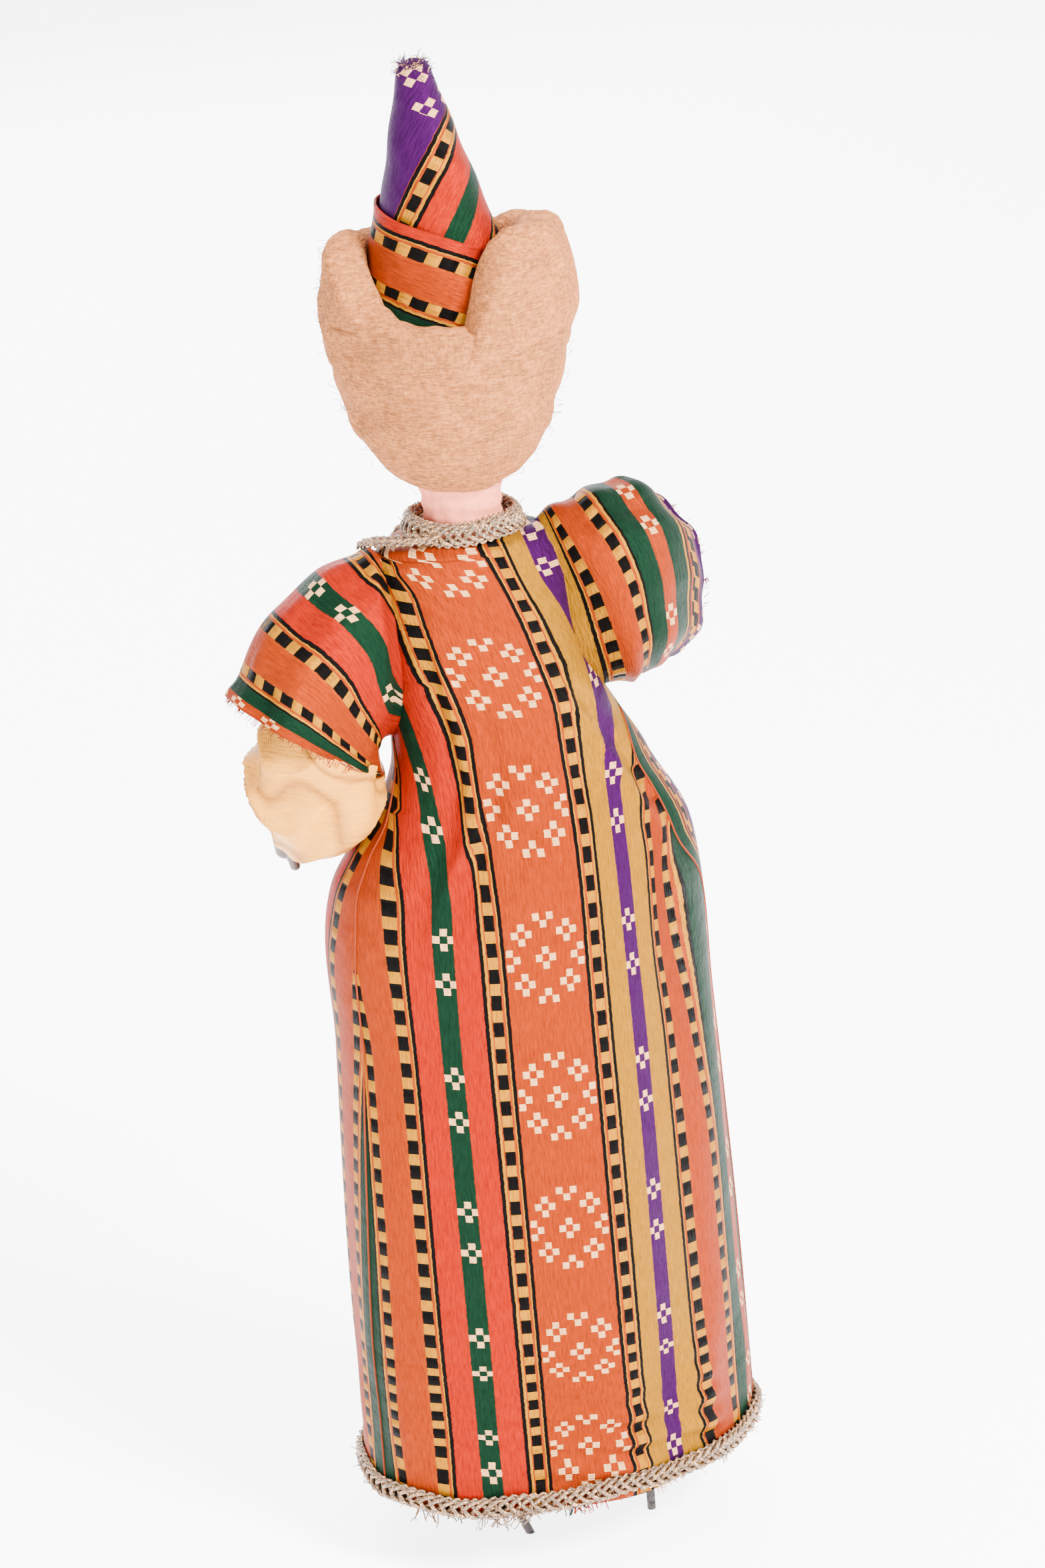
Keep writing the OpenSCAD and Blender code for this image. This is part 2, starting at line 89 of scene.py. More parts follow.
def smooth(xs, ys, x):
    """A curve through the points, without overshoot at the ends."""
    xs, ys, x = (np.asarray(a, float) for a in (xs, ys, x))
    x = clip(x, xs[0], xs[-1])
    step = np.diff(ys) / np.diff(xs)
    m = np.concatenate([[step[0]], (step[1:] + step[:-1]) / 2, [step[-1]]])
    m[1:-1][step[1:] * step[:-1] <= 0] = 0
    i = clip(np.searchsorted(xs, x, side="right") - 1, 0, len(xs) - 2)
    h = xs[i + 1] - xs[i]
    t = (x - xs[i]) / h
    return (ys[i] * (1 + 2 * t) * (1 - t) ** 2 + m[i] * h * t * (1 - t) ** 2
            + ys[i + 1] * t * t * (3 - 2 * t) + m[i + 1] * h * t * t * (t - 1))


def bump(x, centre, width):
    return np.exp(-((x - centre) / width) ** 2)


def unit(v):
    v = np.asarray(v, float)
    return v / (np.linalg.norm(v, axis=-1, keepdims=True) + 1e-9)


def run(path):
    """How far along a path each of its points is."""
    return np.concatenate([[0], np.cumsum(np.linalg.norm(np.diff(path, axis=0), axis=1))])


def about(r, a, z):
    """Places at radius r, angle a (radians, from the back towards the right) and height z."""
    return np.stack(np.broadcast_arrays(-r * np.sin(a), r * np.cos(a), z), -1)


def pairs(a, b):
    return np.stack(np.broadcast_arrays(a, b), 1)


# ---- meshes

def finish_mesh(name, verts, faces, uvs, mats, face_mats=None):
    mesh = bpy.data.meshes.new(name)
    mesh.from_pydata([tuple(v) for v in placed(verts)], [], faces)
    if uvs is not None:
        layer = mesh.uv_layers.new(name="cloth")
        layer.data.foreach_set("uv", np.asarray(uvs, np.float32).ravel() * UV_PER_MM)
    for m in mats:
        mesh.materials.append(m)
    if face_mats is not None:
        mesh.polygons.foreach_set("material_index", face_mats)
    mesh.polygons.foreach_set("use_smooth", [True] * len(mesh.polygons))
    mesh.update()
    obj = bpy.data.objects.new(name, mesh)
    bpy.context.scene.collection.objects.link(obj)
    return obj


def grid(name, P, UV, mat, ring=False, ends=False):
    """A woven sheet from rows of points. UV is the cloth's own millimetres, one column more on a ring."""
    P = np.asarray(P, float)
    rows, cols = P.shape[:2]
    if UV is None:
        UV = np.zeros((rows, cols + 1, 2))
    faces, uvs = [], []
    for i in range(rows - 1):
        for j in range(cols if ring else cols - 1):
            k = (j + 1) % cols
            faces.append((i * cols + j, i * cols + k, (i + 1) * cols + k, (i + 1) * cols + j))
            uvs += [UV[i][j], UV[i][j + 1], UV[i + 1][j + 1], UV[i + 1][j]]
    verts = P.reshape(-1, 3)
    if ends:
        n = len(verts)
        verts = np.vstack([verts, P[0].mean(0), P[-1].mean(0)])
        for j in range(cols):
            k = (j + 1) % cols
            faces.append((n, k, j))
            faces.append((n + 1, (rows - 1) * cols + j, (rows - 1) * cols + k))
            uvs += [UV[0][j]] * 3 + [UV[-1][j]] * 3
    return finish_mesh(name, verts, faces, uvs, [mat])


def thick(obj, mm):
    """Gives a sheet its real thickness and a rim."""
    m = obj.modifiers.new("thickness", "SOLIDIFY")
    m.thickness, m.offset, m.use_even_offset = mm / 1000, -1, False
    bpy.context.view_layer.update()
    mesh = bpy.data.meshes.new_from_object(obj.evaluated_get(bpy.context.evaluated_depsgraph_get()))
    old = obj.data
    obj.modifiers.clear()
    obj.data = mesh
    mesh.name = obj.name
    bpy.data.meshes.remove(old)


def facing(obj, point):
    """Turns the sheet's faces away from a point inside it."""
    mesh = obj.data
    c = Vector(placed(point))
    total = sum((p.center - c).dot(p.normal) * p.area for p in mesh.polygons)
    if total < 0:
        mesh.flip_normals()
    return obj


class Strands:
    """Many thin threads as one mesh."""

    def __init__(self):
        self.verts, self.faces, self.mats = [], [], []

    def add(self, path, radius, sides=5, mat=0, taper=1.0):
        path = np.asarray(path, float)
        n = len(path)
        d = unit(np.gradient(path, axis=0))
        up = np.array([0, 0, 1.0]) if abs(d[0][2]) < 0.9 else np.array([1.0, 0, 0])
        base = len(self.verts)
        for i in range(n):
            a = unit(np.cross(d[i], up))
            up = np.cross(a, d[i])
            r = radius * (1 + (taper - 1) * i / (n - 1))
            for k in range(sides):
                t = TAU * k / sides
                self.verts.append(path[i] + r * (a * cos(t) + up * sin(t)))
        for i in range(n - 1):
            for k in range(sides):
                j = (k + 1) % sides
                self.faces.append((base + i * sides + k, base + i * sides + j,
                                   base + (i + 1) * sides + j, base + (i + 1) * sides + k))
                self.mats.append(mat)
        for f in (list(range(sides))[::-1], [(n - 1) * sides + k for k in range(sides)]):
            self.faces.append(tuple(base + k for k in f))
            self.mats.append(mat)

    def made(self, name, mats):
        return finish_mesh(name, np.array(self.verts), self.faces, None, mats, self.mats)


def lumps(P, size, amount, seed):
    """Seeded smooth unevenness at each point."""
    r = np.random.default_rng(seed)
    out = np.zeros(P.shape[:-1])
    for k in range(7):
        d = unit(r.normal(size=3))
        out += np.sin(P @ d * TAU / (size * r.uniform(0.6, 1.7)) + r.uniform(0, TAU))
    return amount * out / 3.5


# ---- materials

class Net:
    """Short ways to add shader nodes to a tree."""

    def __init__(self, tree):
        self.t = tree

    def node(self, kind, **sets):
        n = self.t.nodes.new(kind)
        for k, v in sets.items():
            setattr(n, k, v)
        return n

    def put(self, socket, value):
        if isinstance(value, bpy.types.NodeSocket):
            self.t.links.new(value, socket)
        elif value is not None:
            socket.default_value = value

    def m(self, op, a, b=None, c=None):
        n = self.node("ShaderNodeMath", operation=op)
        for s, v in zip(n.inputs, (a, b, c)):
            self.put(s, v)
        return n.outputs[0]

    add = partialmethod(m, "ADD")
    sub = partialmethod(m, "SUBTRACT")
    mul = partialmethod(m, "MULTIPLY")
    div = partialmethod(m, "DIVIDE")
    size = partialmethod(m, "ABSOLUTE")
    wave = partialmethod(m, "SINE")
    over = partialmethod(m, "GREATER_THAN")
    under = partialmethod(m, "LESS_THAN")

    def mix(self, fac, a, b, how="MIX"):
        n = self.node("ShaderNodeMix", data_type="RGBA", blend_type=how)
        self.put(n.inputs["Factor"], fac)
        for s, v in ((n.inputs[6], a), (n.inputs[7], b)):
            self.put(s, v if isinstance(v, bpy.types.NodeSocket) else (*v[:3], 1))
        return n.outputs[2]

    def ramp(self, fac, stops, how="LINEAR"):
        n = self.node("ShaderNodeValToRGB")
        r = n.color_ramp
        r.interpolation = how
        while len(r.elements) < len(stops):
            r.elements.new(0.5)
        for e, (at, colour) in zip(r.elements, stops):
            e.position, e.color = at, (*colour[:3], 1)
        self.put(n.inputs[0], fac)
        return n.outputs[0]

    def noise(self, vec, scale, detail=2, rough=0.5):
        n = self.node("ShaderNodeTexNoise")
        for s, v in (("Vector", vec), ("Scale", scale), ("Detail", detail), ("Roughness", rough)):
            self.put(n.inputs[s], v)
        return n.outputs[0]

    def streaks(self, place, scales, detail=2, rough=0.5, layer=0.0):
        """Noise drawn out by its own scale along each direction."""
        parts = [self.mul(p, s) for p, s in zip(place, scales)] + [layer]
        return self.noise(self.vec(*parts[:3]), 1.0, detail, rough)

    def vec(self, x, y, z=0.0):
        n = self.node("ShaderNodeCombineXYZ")
        for s, v in zip(n.inputs, (x, y, z)):
            self.put(s, v)
        return n.outputs[0]

    def split(self, vec):
        n = self.node("ShaderNodeSeparateXYZ")
        self.put(n.inputs[0], vec)
        return n.outputs

    def use(self, group, **values):
        n = self.node("ShaderNodeGroup", node_tree=group)
        for k, v in values.items():
            self.put(n.inputs[k.replace("_", " ")], v)
        return n.outputs


def group(name, ins, outs, build):
    g = bpy.data.node_groups.new(name, "ShaderNodeTree")
    kinds = {"v": "NodeSocketVector", "f": "NodeSocketFloat", "c": "NodeSocketColor"}
    for n, k, *default in ins:
        s = g.interface.new_socket(n, in_out="INPUT", socket_type=kinds[k])
        if default:
            s.default_value = default[0]
    for n, k in outs:
        g.interface.new_socket(n, in_out="OUTPUT", socket_type=kinds[k])
    net = Net(g)
    i, o = net.node("NodeGroupInput"), net.node("NodeGroupOutput")
    for n, value in build(net, {s.name: s for s in i.outputs if s.name}).items():
        net.put(o.inputs[n], value)
    return g


STUDIO_LIGHT = 7.6     # how bright a white vertical face is in this studio
FILM = linspace(0, 1, 2001)
FILM_OUT = (15.5 * FILM ** 6 - 40.14 * FILM ** 5 + 31.96 * FILM ** 4 - 6.868 * FILM ** 3 + 0.4298 * FILM ** 2
            + 0.1191 * FILM - 0.00232)
FILM_IN = np.array([[0.8425, 0.0784, 0.0792], [0.0423, 0.8785, 0.0792], [0.0424, 0.0784, 0.8791]])


def rgb(h):
    """The surface colour that looks like this one under the studio's light and a soft film curve."""
    c = np.array([int(h[i:i + 2], 16) / 255 for i in (1, 3, 5)])
    c = interp(FILM_IN @ c, FILM_OUT, FILM)
    c = np.linalg.inv(FILM_IN) @ 2 ** (c * 16.5 - 12.47393) / STUDIO_LIGHT
    return tuple(float(x) for x in clip(c, 0.0012, 0.85))


DYES = {name: rgb(code) for name, code in (
    ("salmon", "#DC7648"), ("red", "#E6602C"), ("green", "#2E6244"), ("yellow", "#DDB636"),
    ("purple", "#7C3488"), ("cream", "#EEDCC2"), ("black", "#2A2624"), ("gold", "#E6C04E"),
    ("orange", "#DE8038"), ("beige", "#C7A77C"))}
# The repeat of the striped cloth across its width, from the middle of a medallion band to the next:
# where each stripe starts, its dye (on the red side/on the yellow side) and its motif.
STRIPES = """0 salmon medal, 7.25 black, 7.85 gold, 8.2 orange, 8.45 gold dash, 10.35 orange, 10.6 gold,
    10.95 black, 11.55 red/yellow, 16.15 green/purple pair, 19.55 red/yellow, 24.15 black, 24.7 gold,
    25.05 orange, 25.45 gold dash, 27.3 orange, 27.75 salmon, 32.95 orange, 33.4 gold dash, 35.25 orange,
    35.65 gold, 36 black, 36.55 green, 39.75 salmon pair, 42.75 green, 45.95 gold, 46.5 black,
    46.9 orange, 47.3 gold dash, 49.15 orange, 49.55 purple medal"""
HALF = 56.8
MEDAL_EDGE = 7.25
RUNG = 5.0      # from one black bar of a ladder to the next
MASKS = {"dash": (1, 0, 0), "pair": (0, 1, 0), "medal": (0, 0, 1), "": (0, 0, 0)}


def stripe_stops(pick):
    """The stops of a ramp across the stripes, from pick(dyes, motif)."""
    rows = [(*stripe.split(), "")[:3] for stripe in STRIPES.split(",")]
    return [(float(at) / HALF, pick(dyes.split("/"), motif)) for at, dyes, motif in rows]


def little_flower(n, i):
    """Four small blocks round an empty middle; Cut Across and Cut Along hide the block that faces away from the
    centre.
    """
    a, b = n.div(i["Across"], 1.25), n.div(i["Along"], 1.4)
    ia, ib = n.m("ROUND", a), n.m("ROUND", b)
    one = n.m("COMPARE", n.add(n.size(ia), n.size(ib)), 1.0, 0.2)
    edge = n.m("MAXIMUM", n.size(n.sub(a, ia)), n.size(n.sub(b, ib)))
    cut = n.add(n.mul(ia, i["Cut Across"]), n.mul(ib, i["Cut Along"]))
    return {"Block": n.mul(n.mul(one, n.under(edge, 0.485)),
                         n.under(cut, 0.5))}


FLOWER = group("Little woven flower", [("Across", "f"), ("Along", "f"), ("Cut Across", "f", 0.0),
                                       ("Cut Along", "f", 0.0)], [("Block", "f")], little_flower)


def medallion(n, i):
    a, b = n.size(i["Across"]), n.size(i["Along"])
    parts = [n.use(FLOWER, Across=i["Across"], Along=i["Along"])[0],
             n.use(FLOWER, Across=n.sub(a, 4.1), Along=n.sub(b, 4.7))[0],
             n.use(FLOWER, Across=i["Across"], Along=n.sub(b, 7.75), Cut_Along=1.0)[0],
             n.use(FLOWER, Across=n.sub(a, 6.5), Along=i["Along"], Cut_Across=1.0)[0]]
    out = parts[0]
    for p in parts[1:]:
        out = n.m("MAXIMUM", out, p)
    return {"Block": out}


MEDALLION = group("Woven medallion", [("Across", "f"), ("Along", "f")], [("Block", "f")], medallion)


def silk_threads(n, i):
    """Long floating warp threads: their light and dark, partly their own tone and partly painted sheen on the
    floats, their relief and how they catch the light.
    """
    uv = n.split(i["Cloth"])[:2]
    fine = n.streaks(uv, (5.5, 0.55), 3, 0.6)
    floats = n.streaks(uv, (2.6, 0.33), 2, 0.55, 4.0)
    creases = n.streaks(uv, (0.11, 0.17), 2, 0.45, 2.0)
    # Shade: the threads' own tone and a painted sheen on the floats, which multiplies the dyes
    return {"Shade": n.add(0.16, n.add(n.mul(fine, 0.76), n.mul(floats, 0.92))),
            "Height": n.add(n.add(n.mul(fine, 0.8), n.mul(floats, 1.1)), n.mul(creases, 4.5)),
            "Broad": n.streaks(uv, (0.09, 0.05), layer=9.0)}


SILK = group("Floating silk threads", [("Cloth", "v")], [("Shade", "f"), ("Height", "f"), ("Broad", "f")],
             silk_threads)


def brocade(n, i):
    u, v, _ = n.split(i["Cloth"])
    uw = n.add(u, n.mul(n.sub(n.streaks((u, v), (0.2, 0.9)), 0.5), 0.34))
    a = n.m("PINGPONG", uw, HALF)
    f = n.div(a, HALF)
    red = n.ramp(f, stripe_stops(lambda dyes, motif: DYES[dyes[0]]), "CONSTANT")
    yellow = n.ramp(f, stripe_stops(lambda dyes, motif: DYES[dyes[-1]]), "CONSTANT")
    dash, pair, medal = n.split(n.ramp(f, stripe_stops(lambda dyes, motif: MASKS[motif]), "CONSTANT"))
    colour = n.mix(n.over(uw, 0.0), red, yellow)
    colour = n.mix(n.mul(i["Purple Middle"], n.under(a, MEDAL_EDGE)), colour, DYES["purple"])
    # black bars in the ladder, each set a little off from the next column
    shift = n.mul(n.m("FLOOR", n.div(a, 8.0)), 1.7)
    vv = n.add(n.add(v, shift), n.mul(n.sub(n.noise(n.vec(0.0, v), 0.6), 0.5), 0.7))
    bar = n.under(n.m("FRACT", n.div(vv, RUNG)), 0.56)
    colour = n.mix(n.mul(dash, bar), colour, DYES["black"])
    # little flowers in pairs, and medallions in the middle of each wide band
    far_half = n.over(a, 30.0)
    vm = n.m("WRAP", v, 13.15, -13.15)
    across = n.mix(far_half, n.vec(uw, 0.0), n.vec(n.sub(a, HALF), 0.0))
    med = n.use(MEDALLION, Across=n.split(across)[0], Along=vm)[0]
    middle = n.sub(a, n.add(17.85, n.mul(far_half, 23.4)))
    flowers = n.use(FLOWER, Across=middle, Along=n.sub(n.size(vm), 4.2))[0]
    motif = n.add(n.mul(medal, med), n.mul(pair, flowers))
    motif = n.mul(motif, n.under(n.size(v), i["Motif Reach"]))
    silk = n.use(SILK, Cloth=i["Cloth"])
    # the dyes times the threads' tone and painted sheen
    colour = n.mix(1.0, n.mix(motif, colour, DYES["cream"]), n.vec(silk[0], silk[0], silk[0]), "MULTIPLY")
    weft = n.mul(n.wave(n.mul(v, TAU / 0.55)), motif)
    rungs = n.mul(n.mul(dash, n.size(n.wave(n.mul(vv, TAU / RUNG)))), 1.1)
    height = n.add(n.add(silk[1], n.mul(motif, 0.9)), n.add(rungs, n.mul(weft, 0.2)))
    return {"Colour": colour, "Height": height, "Broad": silk[2]}


BROCADE = group("Striped brocade", [("Cloth", "v"), ("Purple Middle", "f", 0.0), ("Motif Reach", "f", 1e6)],
                [("Colour", "c"), ("Height", "f"), ("Broad", "f")], brocade)


def fibres(n, i):
    """Short tangled fibres: a light and dark value, and their relief."""
    p = i["Place"]
    blot = n.node("ShaderNodeTexNoise")
    n.put(blot.inputs["Vector"], p)
    blot.inputs["Scale"].default_value = 0.16
    warp = n.node("ShaderNodeVectorMath", operation="ADD")
    n.put(warp.inputs[0], p)
    n.put(warp.inputs[1], blot.outputs[1])
    xyz = n.split(warp.outputs[0])
    lie = n.streaks(xyz, (0.5, 0.5, 3.4), 4, 0.65)
    tangle = n.streaks(xyz, (1.6, 1.2, 0.9), 3, 0.6)
    return {"Value": n.add(n.mul(lie, 0.6), n.mul(tangle, 0.4)), "Blotch": n.noise(p, 0.11, 2),
            "Speck": n.over(n.noise(p, 0.75, 1), 0.80)}


FIBRES = group("Tangled fibres", [("Place", "v")], [("Value", "f"), ("Blotch", "f"), ("Speck", "f")], fibres)
SOCKETS = {"metal": "Metallic", "coat": "Coat Weight", "spec": "Specular IOR Level",
           "glow": "Emission Strength", "colour": "Base Color", "rough": "Roughness"}


def material(name, build, rough=0.6, **shader):
    """A material whose colour, height and roughness come from build(net); the rest are plain values."""
    mat = bpy.data.materials.new(name)
    mat.use_nodes = True
    net = Net(mat.node_tree)
    bsdf = next(x for x in mat.node_tree.nodes if x.type == "BSDF_PRINCIPLED")
    bsdf.inputs["Emission Color"].default_value = (0.97, 0.975, 1, 1)
    made = build(net)
    for k, v in {"rough": rough, **shader, **made}.items():
        if k in SOCKETS:
            net.put(bsdf.inputs[SOCKETS[k]], v)
    if "height" in made:
        b = net.node("ShaderNodeBump")
        b.inputs["Strength"].default_value = made.get("strength", 0.5)
        b.inputs["Distance"].default_value = made.get("distance", 0.0002)
        net.put(b.inputs["Height"], made["height"])
        net.put(bsdf.inputs["Normal"], b.outputs[0])
    return mat


def scaled(n, place, by):
    s = n.node("ShaderNodeVectorMath", operation="SCALE")
    n.put(s.inputs[0], place)
    s.inputs[3].default_value = by
    return s.outputs[0]


def cloth_place(n):
    return scaled(n, n.node("ShaderNodeUVMap", uv_map="cloth").outputs[0], 1 / UV_PER_MM)


def object_place(n):
    return scaled(n, n.node("ShaderNodeTexCoord").outputs["Object"], 1000)


def brocade_material(name, middle, reach=1e6):
    def build(n):
        b = n.use(BROCADE, Cloth=cloth_place(n), Purple_Middle=middle, Motif_Reach=reach)
        return {"colour": b["Colour"], "height": b["Height"], "rough": n.add(0.36, n.mul(b["Broad"], 0.2)),
                "strength": 0.85, "distance": 0.0003}
    return material(name, build, spec=0.0, metal=0.4)


def satin_build(n):
    """Cream satin: a fine twill, slubs across it, and soft folds with painted shade down in them, a darker gold
    in its colour.
    """
    u, v, _ = n.split(cloth_place(n))
    twill = n.wave(n.mul(n.add(u, v), TAU / 0.42))
    slub_and_fold_shade = n.streaks((u, v), (0.25, 2.4), 3)
    swing = n.mul(n.streaks((u, v), (0.05, 0.05), 1), 14.0)
    # soft folds: their relief, and painted shade that darkens the colour down in them
    folds = n.size(n.wave(n.add(n.add(n.mul(v, 0.34), n.mul(u, 0.10)), swing)))
    slub_and_fold_shade = n.add(n.mul(slub_and_fold_shade, 0.45), n.mul(n.m("SMOOTH_MIN", folds, 0.6, 0.3), 0.9))
    # dark gold where the slubs and the painted fold shade are low, light cream elsewhere
    return {"colour": n.mix(slub_and_fold_shade, rgb("#DDA650"), rgb("#F9E4A6")), "height": n.add(n.mul(twill, 0.05), slub_and_fold_shade),
            "strength": 0.8, "distance": 0.0012}


def wadding_build(n):
    f = n.use(FIBRES, Place=object_place(n))
    c = n.ramp(f["Value"], [(0.25, rgb("#B98A60")), (0.48, rgb("#E8BF92")), (0.75, rgb("#F6DDBC"))])
    c = n.mix(n.mul(n.sub(f["Blotch"], 0.35), 0.7), c, rgb("#B98C60"))
    c = n.mix(n.mul(f["Speck"], 0.6), c, rgb("#6B4326"))
    return {"colour": c, "height": f["Value"], "strength": 1.0, "distance": 0.001}


def braid_build(n):
    p = object_place(n)
    f = n.noise(p, 2.2, 3, 0.7)
    glint = n.over(n.noise(p, 3.1, 1), 0.60)
    c = n.ramp(f, [(0.3, rgb("#7A5E48")), (0.5, rgb("#B09274")), (0.72, rgb("#E2CBAE"))])
    return {"colour": n.mix(glint, c, rgb("#F4E6CC")), "metal": n.mul(glint, 0.8), "height": f,
            "strength": 0.6, "distance": 0.0002}


def plain(dark, light, scale=0.5, strength=0.3, distance=0.0001):
    """One colour with a little unevenness, between two shades of it."""
    def build(n):
        v = n.noise(object_place(n), scale, 3, 0.6)
        return {"colour": n.mix(v, *(rgb(c) if isinstance(c, str) else c for c in (dark, light))), "height": v,
                "strength": strength, "distance": distance}
    return build


def wire_build(n):
    p = object_place(n)
    v, w = n.noise(p, 0.9, 4, 0.7), n.noise(p, 4.0, 2)
    return {"colour": n.ramp(v, [(0.3, rgb("#2E1C14")), (0.5, rgb("#5B4034")), (0.7, rgb("#8A5A3C"))]),
            "metal": n.mul(n.under(v, 0.45), 0.6), "height": w, "strength": 0.5}


def wood_build(n):
    v = n.streaks(n.split(object_place(n)), (1.2, 1.2, 0.08), 4)
    return {"colour": n.ramp(v, [(0.35, rgb("#A67C4C")), (0.7, rgb("#D2AE7B"))]), "height": v, "strength": 0.3}


# The finishes, by the name of the slot that they fill; the last two and the cap cloth fill none.
MATS = {
    "striped_brocade": brocade_material("striped brocade", 0.0),
    "cap cloth": brocade_material("purple striped brocade", 1.0, 5.5),
    "cream_satin": material("cream satin", satin_build, 0.42, spec=0.15),
    "neck_cloth": material("pink neck cloth", plain("#EFC5B4", "#F8DCCE", 0.8, 0.5, 0.0002), 0.8, spec=0.1),
    "wadding": material("cotton wadding", wadding_build, 0.95, spec=0.08),
    "metal_thread_braid": material("tinsel braid", braid_build, 0.42),
    "rusty_wire": material("rusty wire", wire_build, 0.6),
    "bright_wire": material("bright wire", plain("#8F8B86", "#A9A49D"), 0.35, metal=0.9),
    "turned_wood": material("turned wood", wood_build, 0.6),
    "card": material("card", plain("#A98F6C", "#BFA684", 0.6), 0.85),
    "painted_head": material("painted head", plain("#DDB093", "#E8BEA2", 0.25, 0.2), 0.5, coat=0.15),
    "painted_hand": material("painted hand", plain("#7A4A3A", "#A8705A", 0.5, 0.3), 0.45, coat=0.2),
    "eye_black": material("glossy black", plain("#15110F", "#15110F"), 0.15, coat=0.6),
    "brow": material("dark painted hair", plain("#2A1A12", "#3C2418", 1.5), 0.7),
    "lips": material("painted lips", plain("#A8483C", "#B85548", 1.0), 0.45),
}
THREADS = {k: material(k + " thread", plain(DYES[dye], tuple(x * 0.8 for x in DYES[dye]), 2.0), 0.7, spec=0.1)
           for k, dye in (("coral", "salmon"), ("orange", "red"), ("green", "green"), ("purple", "purple"),
                          ("cream", "cream"), ("yellow", "yellow"), ("beige", "beige"))}
MATS["padding"] = MATS["wadding"]
TINSEL = [MATS["metal_thread_braid"]]
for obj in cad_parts.values():
    for s in obj.material_slots:
        slot = s.material.name.split(".")[0] if s.material else ""
        s.material = MATS.get(slot, s.material)

# ---- robe

ROBE = np.array([
    (16, -2, 5, 37, 26), (60, -2, 5, 36.4, 25), (100, -2.4, 4.5, 35, 24), (130, -3, 4, 33.6, 22),
    (137, -4.6, 3.6, 30.6, 20.5), (143, -5.6, 3.2, 26.4, 19), (149, -5.6, 2.6, 23.4, 17.4),
    (157, -4, 2, 20.6, 15.5), (168, -1, 1, 18.2, 14), (178, 0, 0.5, 18, 13.2), (186, 0, 0, 17.6, 12.4),
    (189.6, 0, 0, 16.4, 11.4), (191.8, 0, 0, 13.6, 10.2), (193, 0, 0, 8.8, 8.8)], float)


def robe_row(z):
    return [float(smooth(ROBE[:, 0], ROBE[:, k], z)) for k in (1, 2, 3, 4)]


# Puckers and creases of the back: how far out, the height, how much it climbs with the angle, how tall,
# how much the angle leans with the height, the angle and how wide.
PUCKERS = [(-.9, 143, .25, 4.5, 0, 0, 30), (.8, 150, .2, 5, 0, -6, 26), (.7, 128, .1, 5, 0, -16, 12),
           (-.6, 134, -.5, 3.5, 0, -22, 14), (.9, 150, 0, 22, 0, -33, 4), (-.7, 150, 0, 22, 0, -41, 5),
           (.85, 146, 0, 15, .35, -27, 3.2), (-.6, 146, 0, 15, .35, -20, 3.5), (.7, 150, 0, 14, -.5, 40, 4),
           (-.6, 146, 0, 16, -.5, 49, 5), (.45, 160, .12, 3.2, 0, 0, 40), (-.4, 176, -.1, 4, 0, 5, 40)]


def ripple(t, z):
    """The cloth's soft folds and puckers, outward in millimetres; t is in degrees from the back's middle."""
    low = clip((150 - z) / 60, 0, 1)
    out = low * (0.55 * np.sin(np.radians(t * 5) + 0.012 * z) + 0.3 * np.sin(np.radians(t * 9 + 40) - 0.02 * z))
    for far, level, climb, tall, lean, angle, wide in PUCKERS:
        out += far * bump(z, level + climb * t, tall) * bump(t - lean * (z - 150), angle, wide)
    pull = bump(z, 24, 9) * (bump(t, 12, 10) + 0.6 * bump(t, -12, 8) + 0.7 * bump(t, 40, 9))
    out += pull * (np.sin(z * 1.25 + t * 0.12) + 0.4) + 0.5 * bump(z, 30, 10) * np.sin(np.radians(t * 11))
    return out * clip((191 - z) / 6, 0.15, 1)


def around(z, angles, out=0.0, folds=True):
    cx, cy, hw, hd = robe_row(z)
    angles = np.asarray(angles, float)
    d = out + (ripple(angles, z) if folds else 0)
    a = np.radians(angles)
    return np.stack([cx - (hw + d) * np.sin(a), cy + (hd + d) * np.cos(a), np.full(len(a), z)], 1)


DEG = linspace(-180, 180, 721)


def arc_table(z):
    cx, cy, hw, hd = robe_row(z)
    s = run(pairs(hw * np.sin(np.radians(DEG)), hd * np.cos(np.radians(DEG))))
    return s - s[360]


# Where the warp's landmark lines run down the back: (height, across) with across as x or as the arc.
LINES_X = {
    -17.85: [(30, 16.3), (100, 16.3), (124, 15.7), (132, 14.9), (141, 14.1), (149, 13.9), (160, 15.4),
             (166, 16.6)],
    -9.4: [(30, 8), (105, 7.8), (135, 7.4), (142, 7.3), (150, 7.2), (157, 7.2), (164, 8.6), (172, 10.9),
           (179, 12.6), (185, 13.7), (188, 15.2)],
    9.4: [(30, -10.5), (112, -10.7), (129, -11.2), (138, -11.6), (146, -12.1), (152, -11.6), (162, -11.5),
          (169, -10.2), (177, -7.9), (184, -5.2), (189, -3.4), (193, -2.2)],
    17.85: [(30, -18), (100, -18.2), (144, -18.5), (152, -19.6), (159, -20), (166, -19.4), (177, -16),
            (185, -11.8), (192, -9.7)]}
LINES_S = {
    25.95: [(30, 24.5), (96, 23.8), (115, 22.4), (132, 21.7), (140, 20), (148, 20.8)],
    34.75: [(33, 35.2), (50, 34), (77, 33.1), (94, 30.6), (107, 28.5), (118, 26.3), (131, 24.8),
            (142, 24.6)],
    -25.95: [(30, -27.6), (130, -27.6), (137, -29.2), (148, -31.5)]}
SEAM_LEFT = [(14, -71), (31, -72), (74, -68), (115, -66), (123, -66), (129, -68), (140, -76), (150, -85),
             (155.5, -90)]
SEAM_LEFT_U = [(20, -39.5), (74, -38), (115, -34.5), (129, -31.5), (155, -25), (166, -19.5), (172, -17),
               (179, -15.5), (186, -13), (190, -10), (193, -5)]
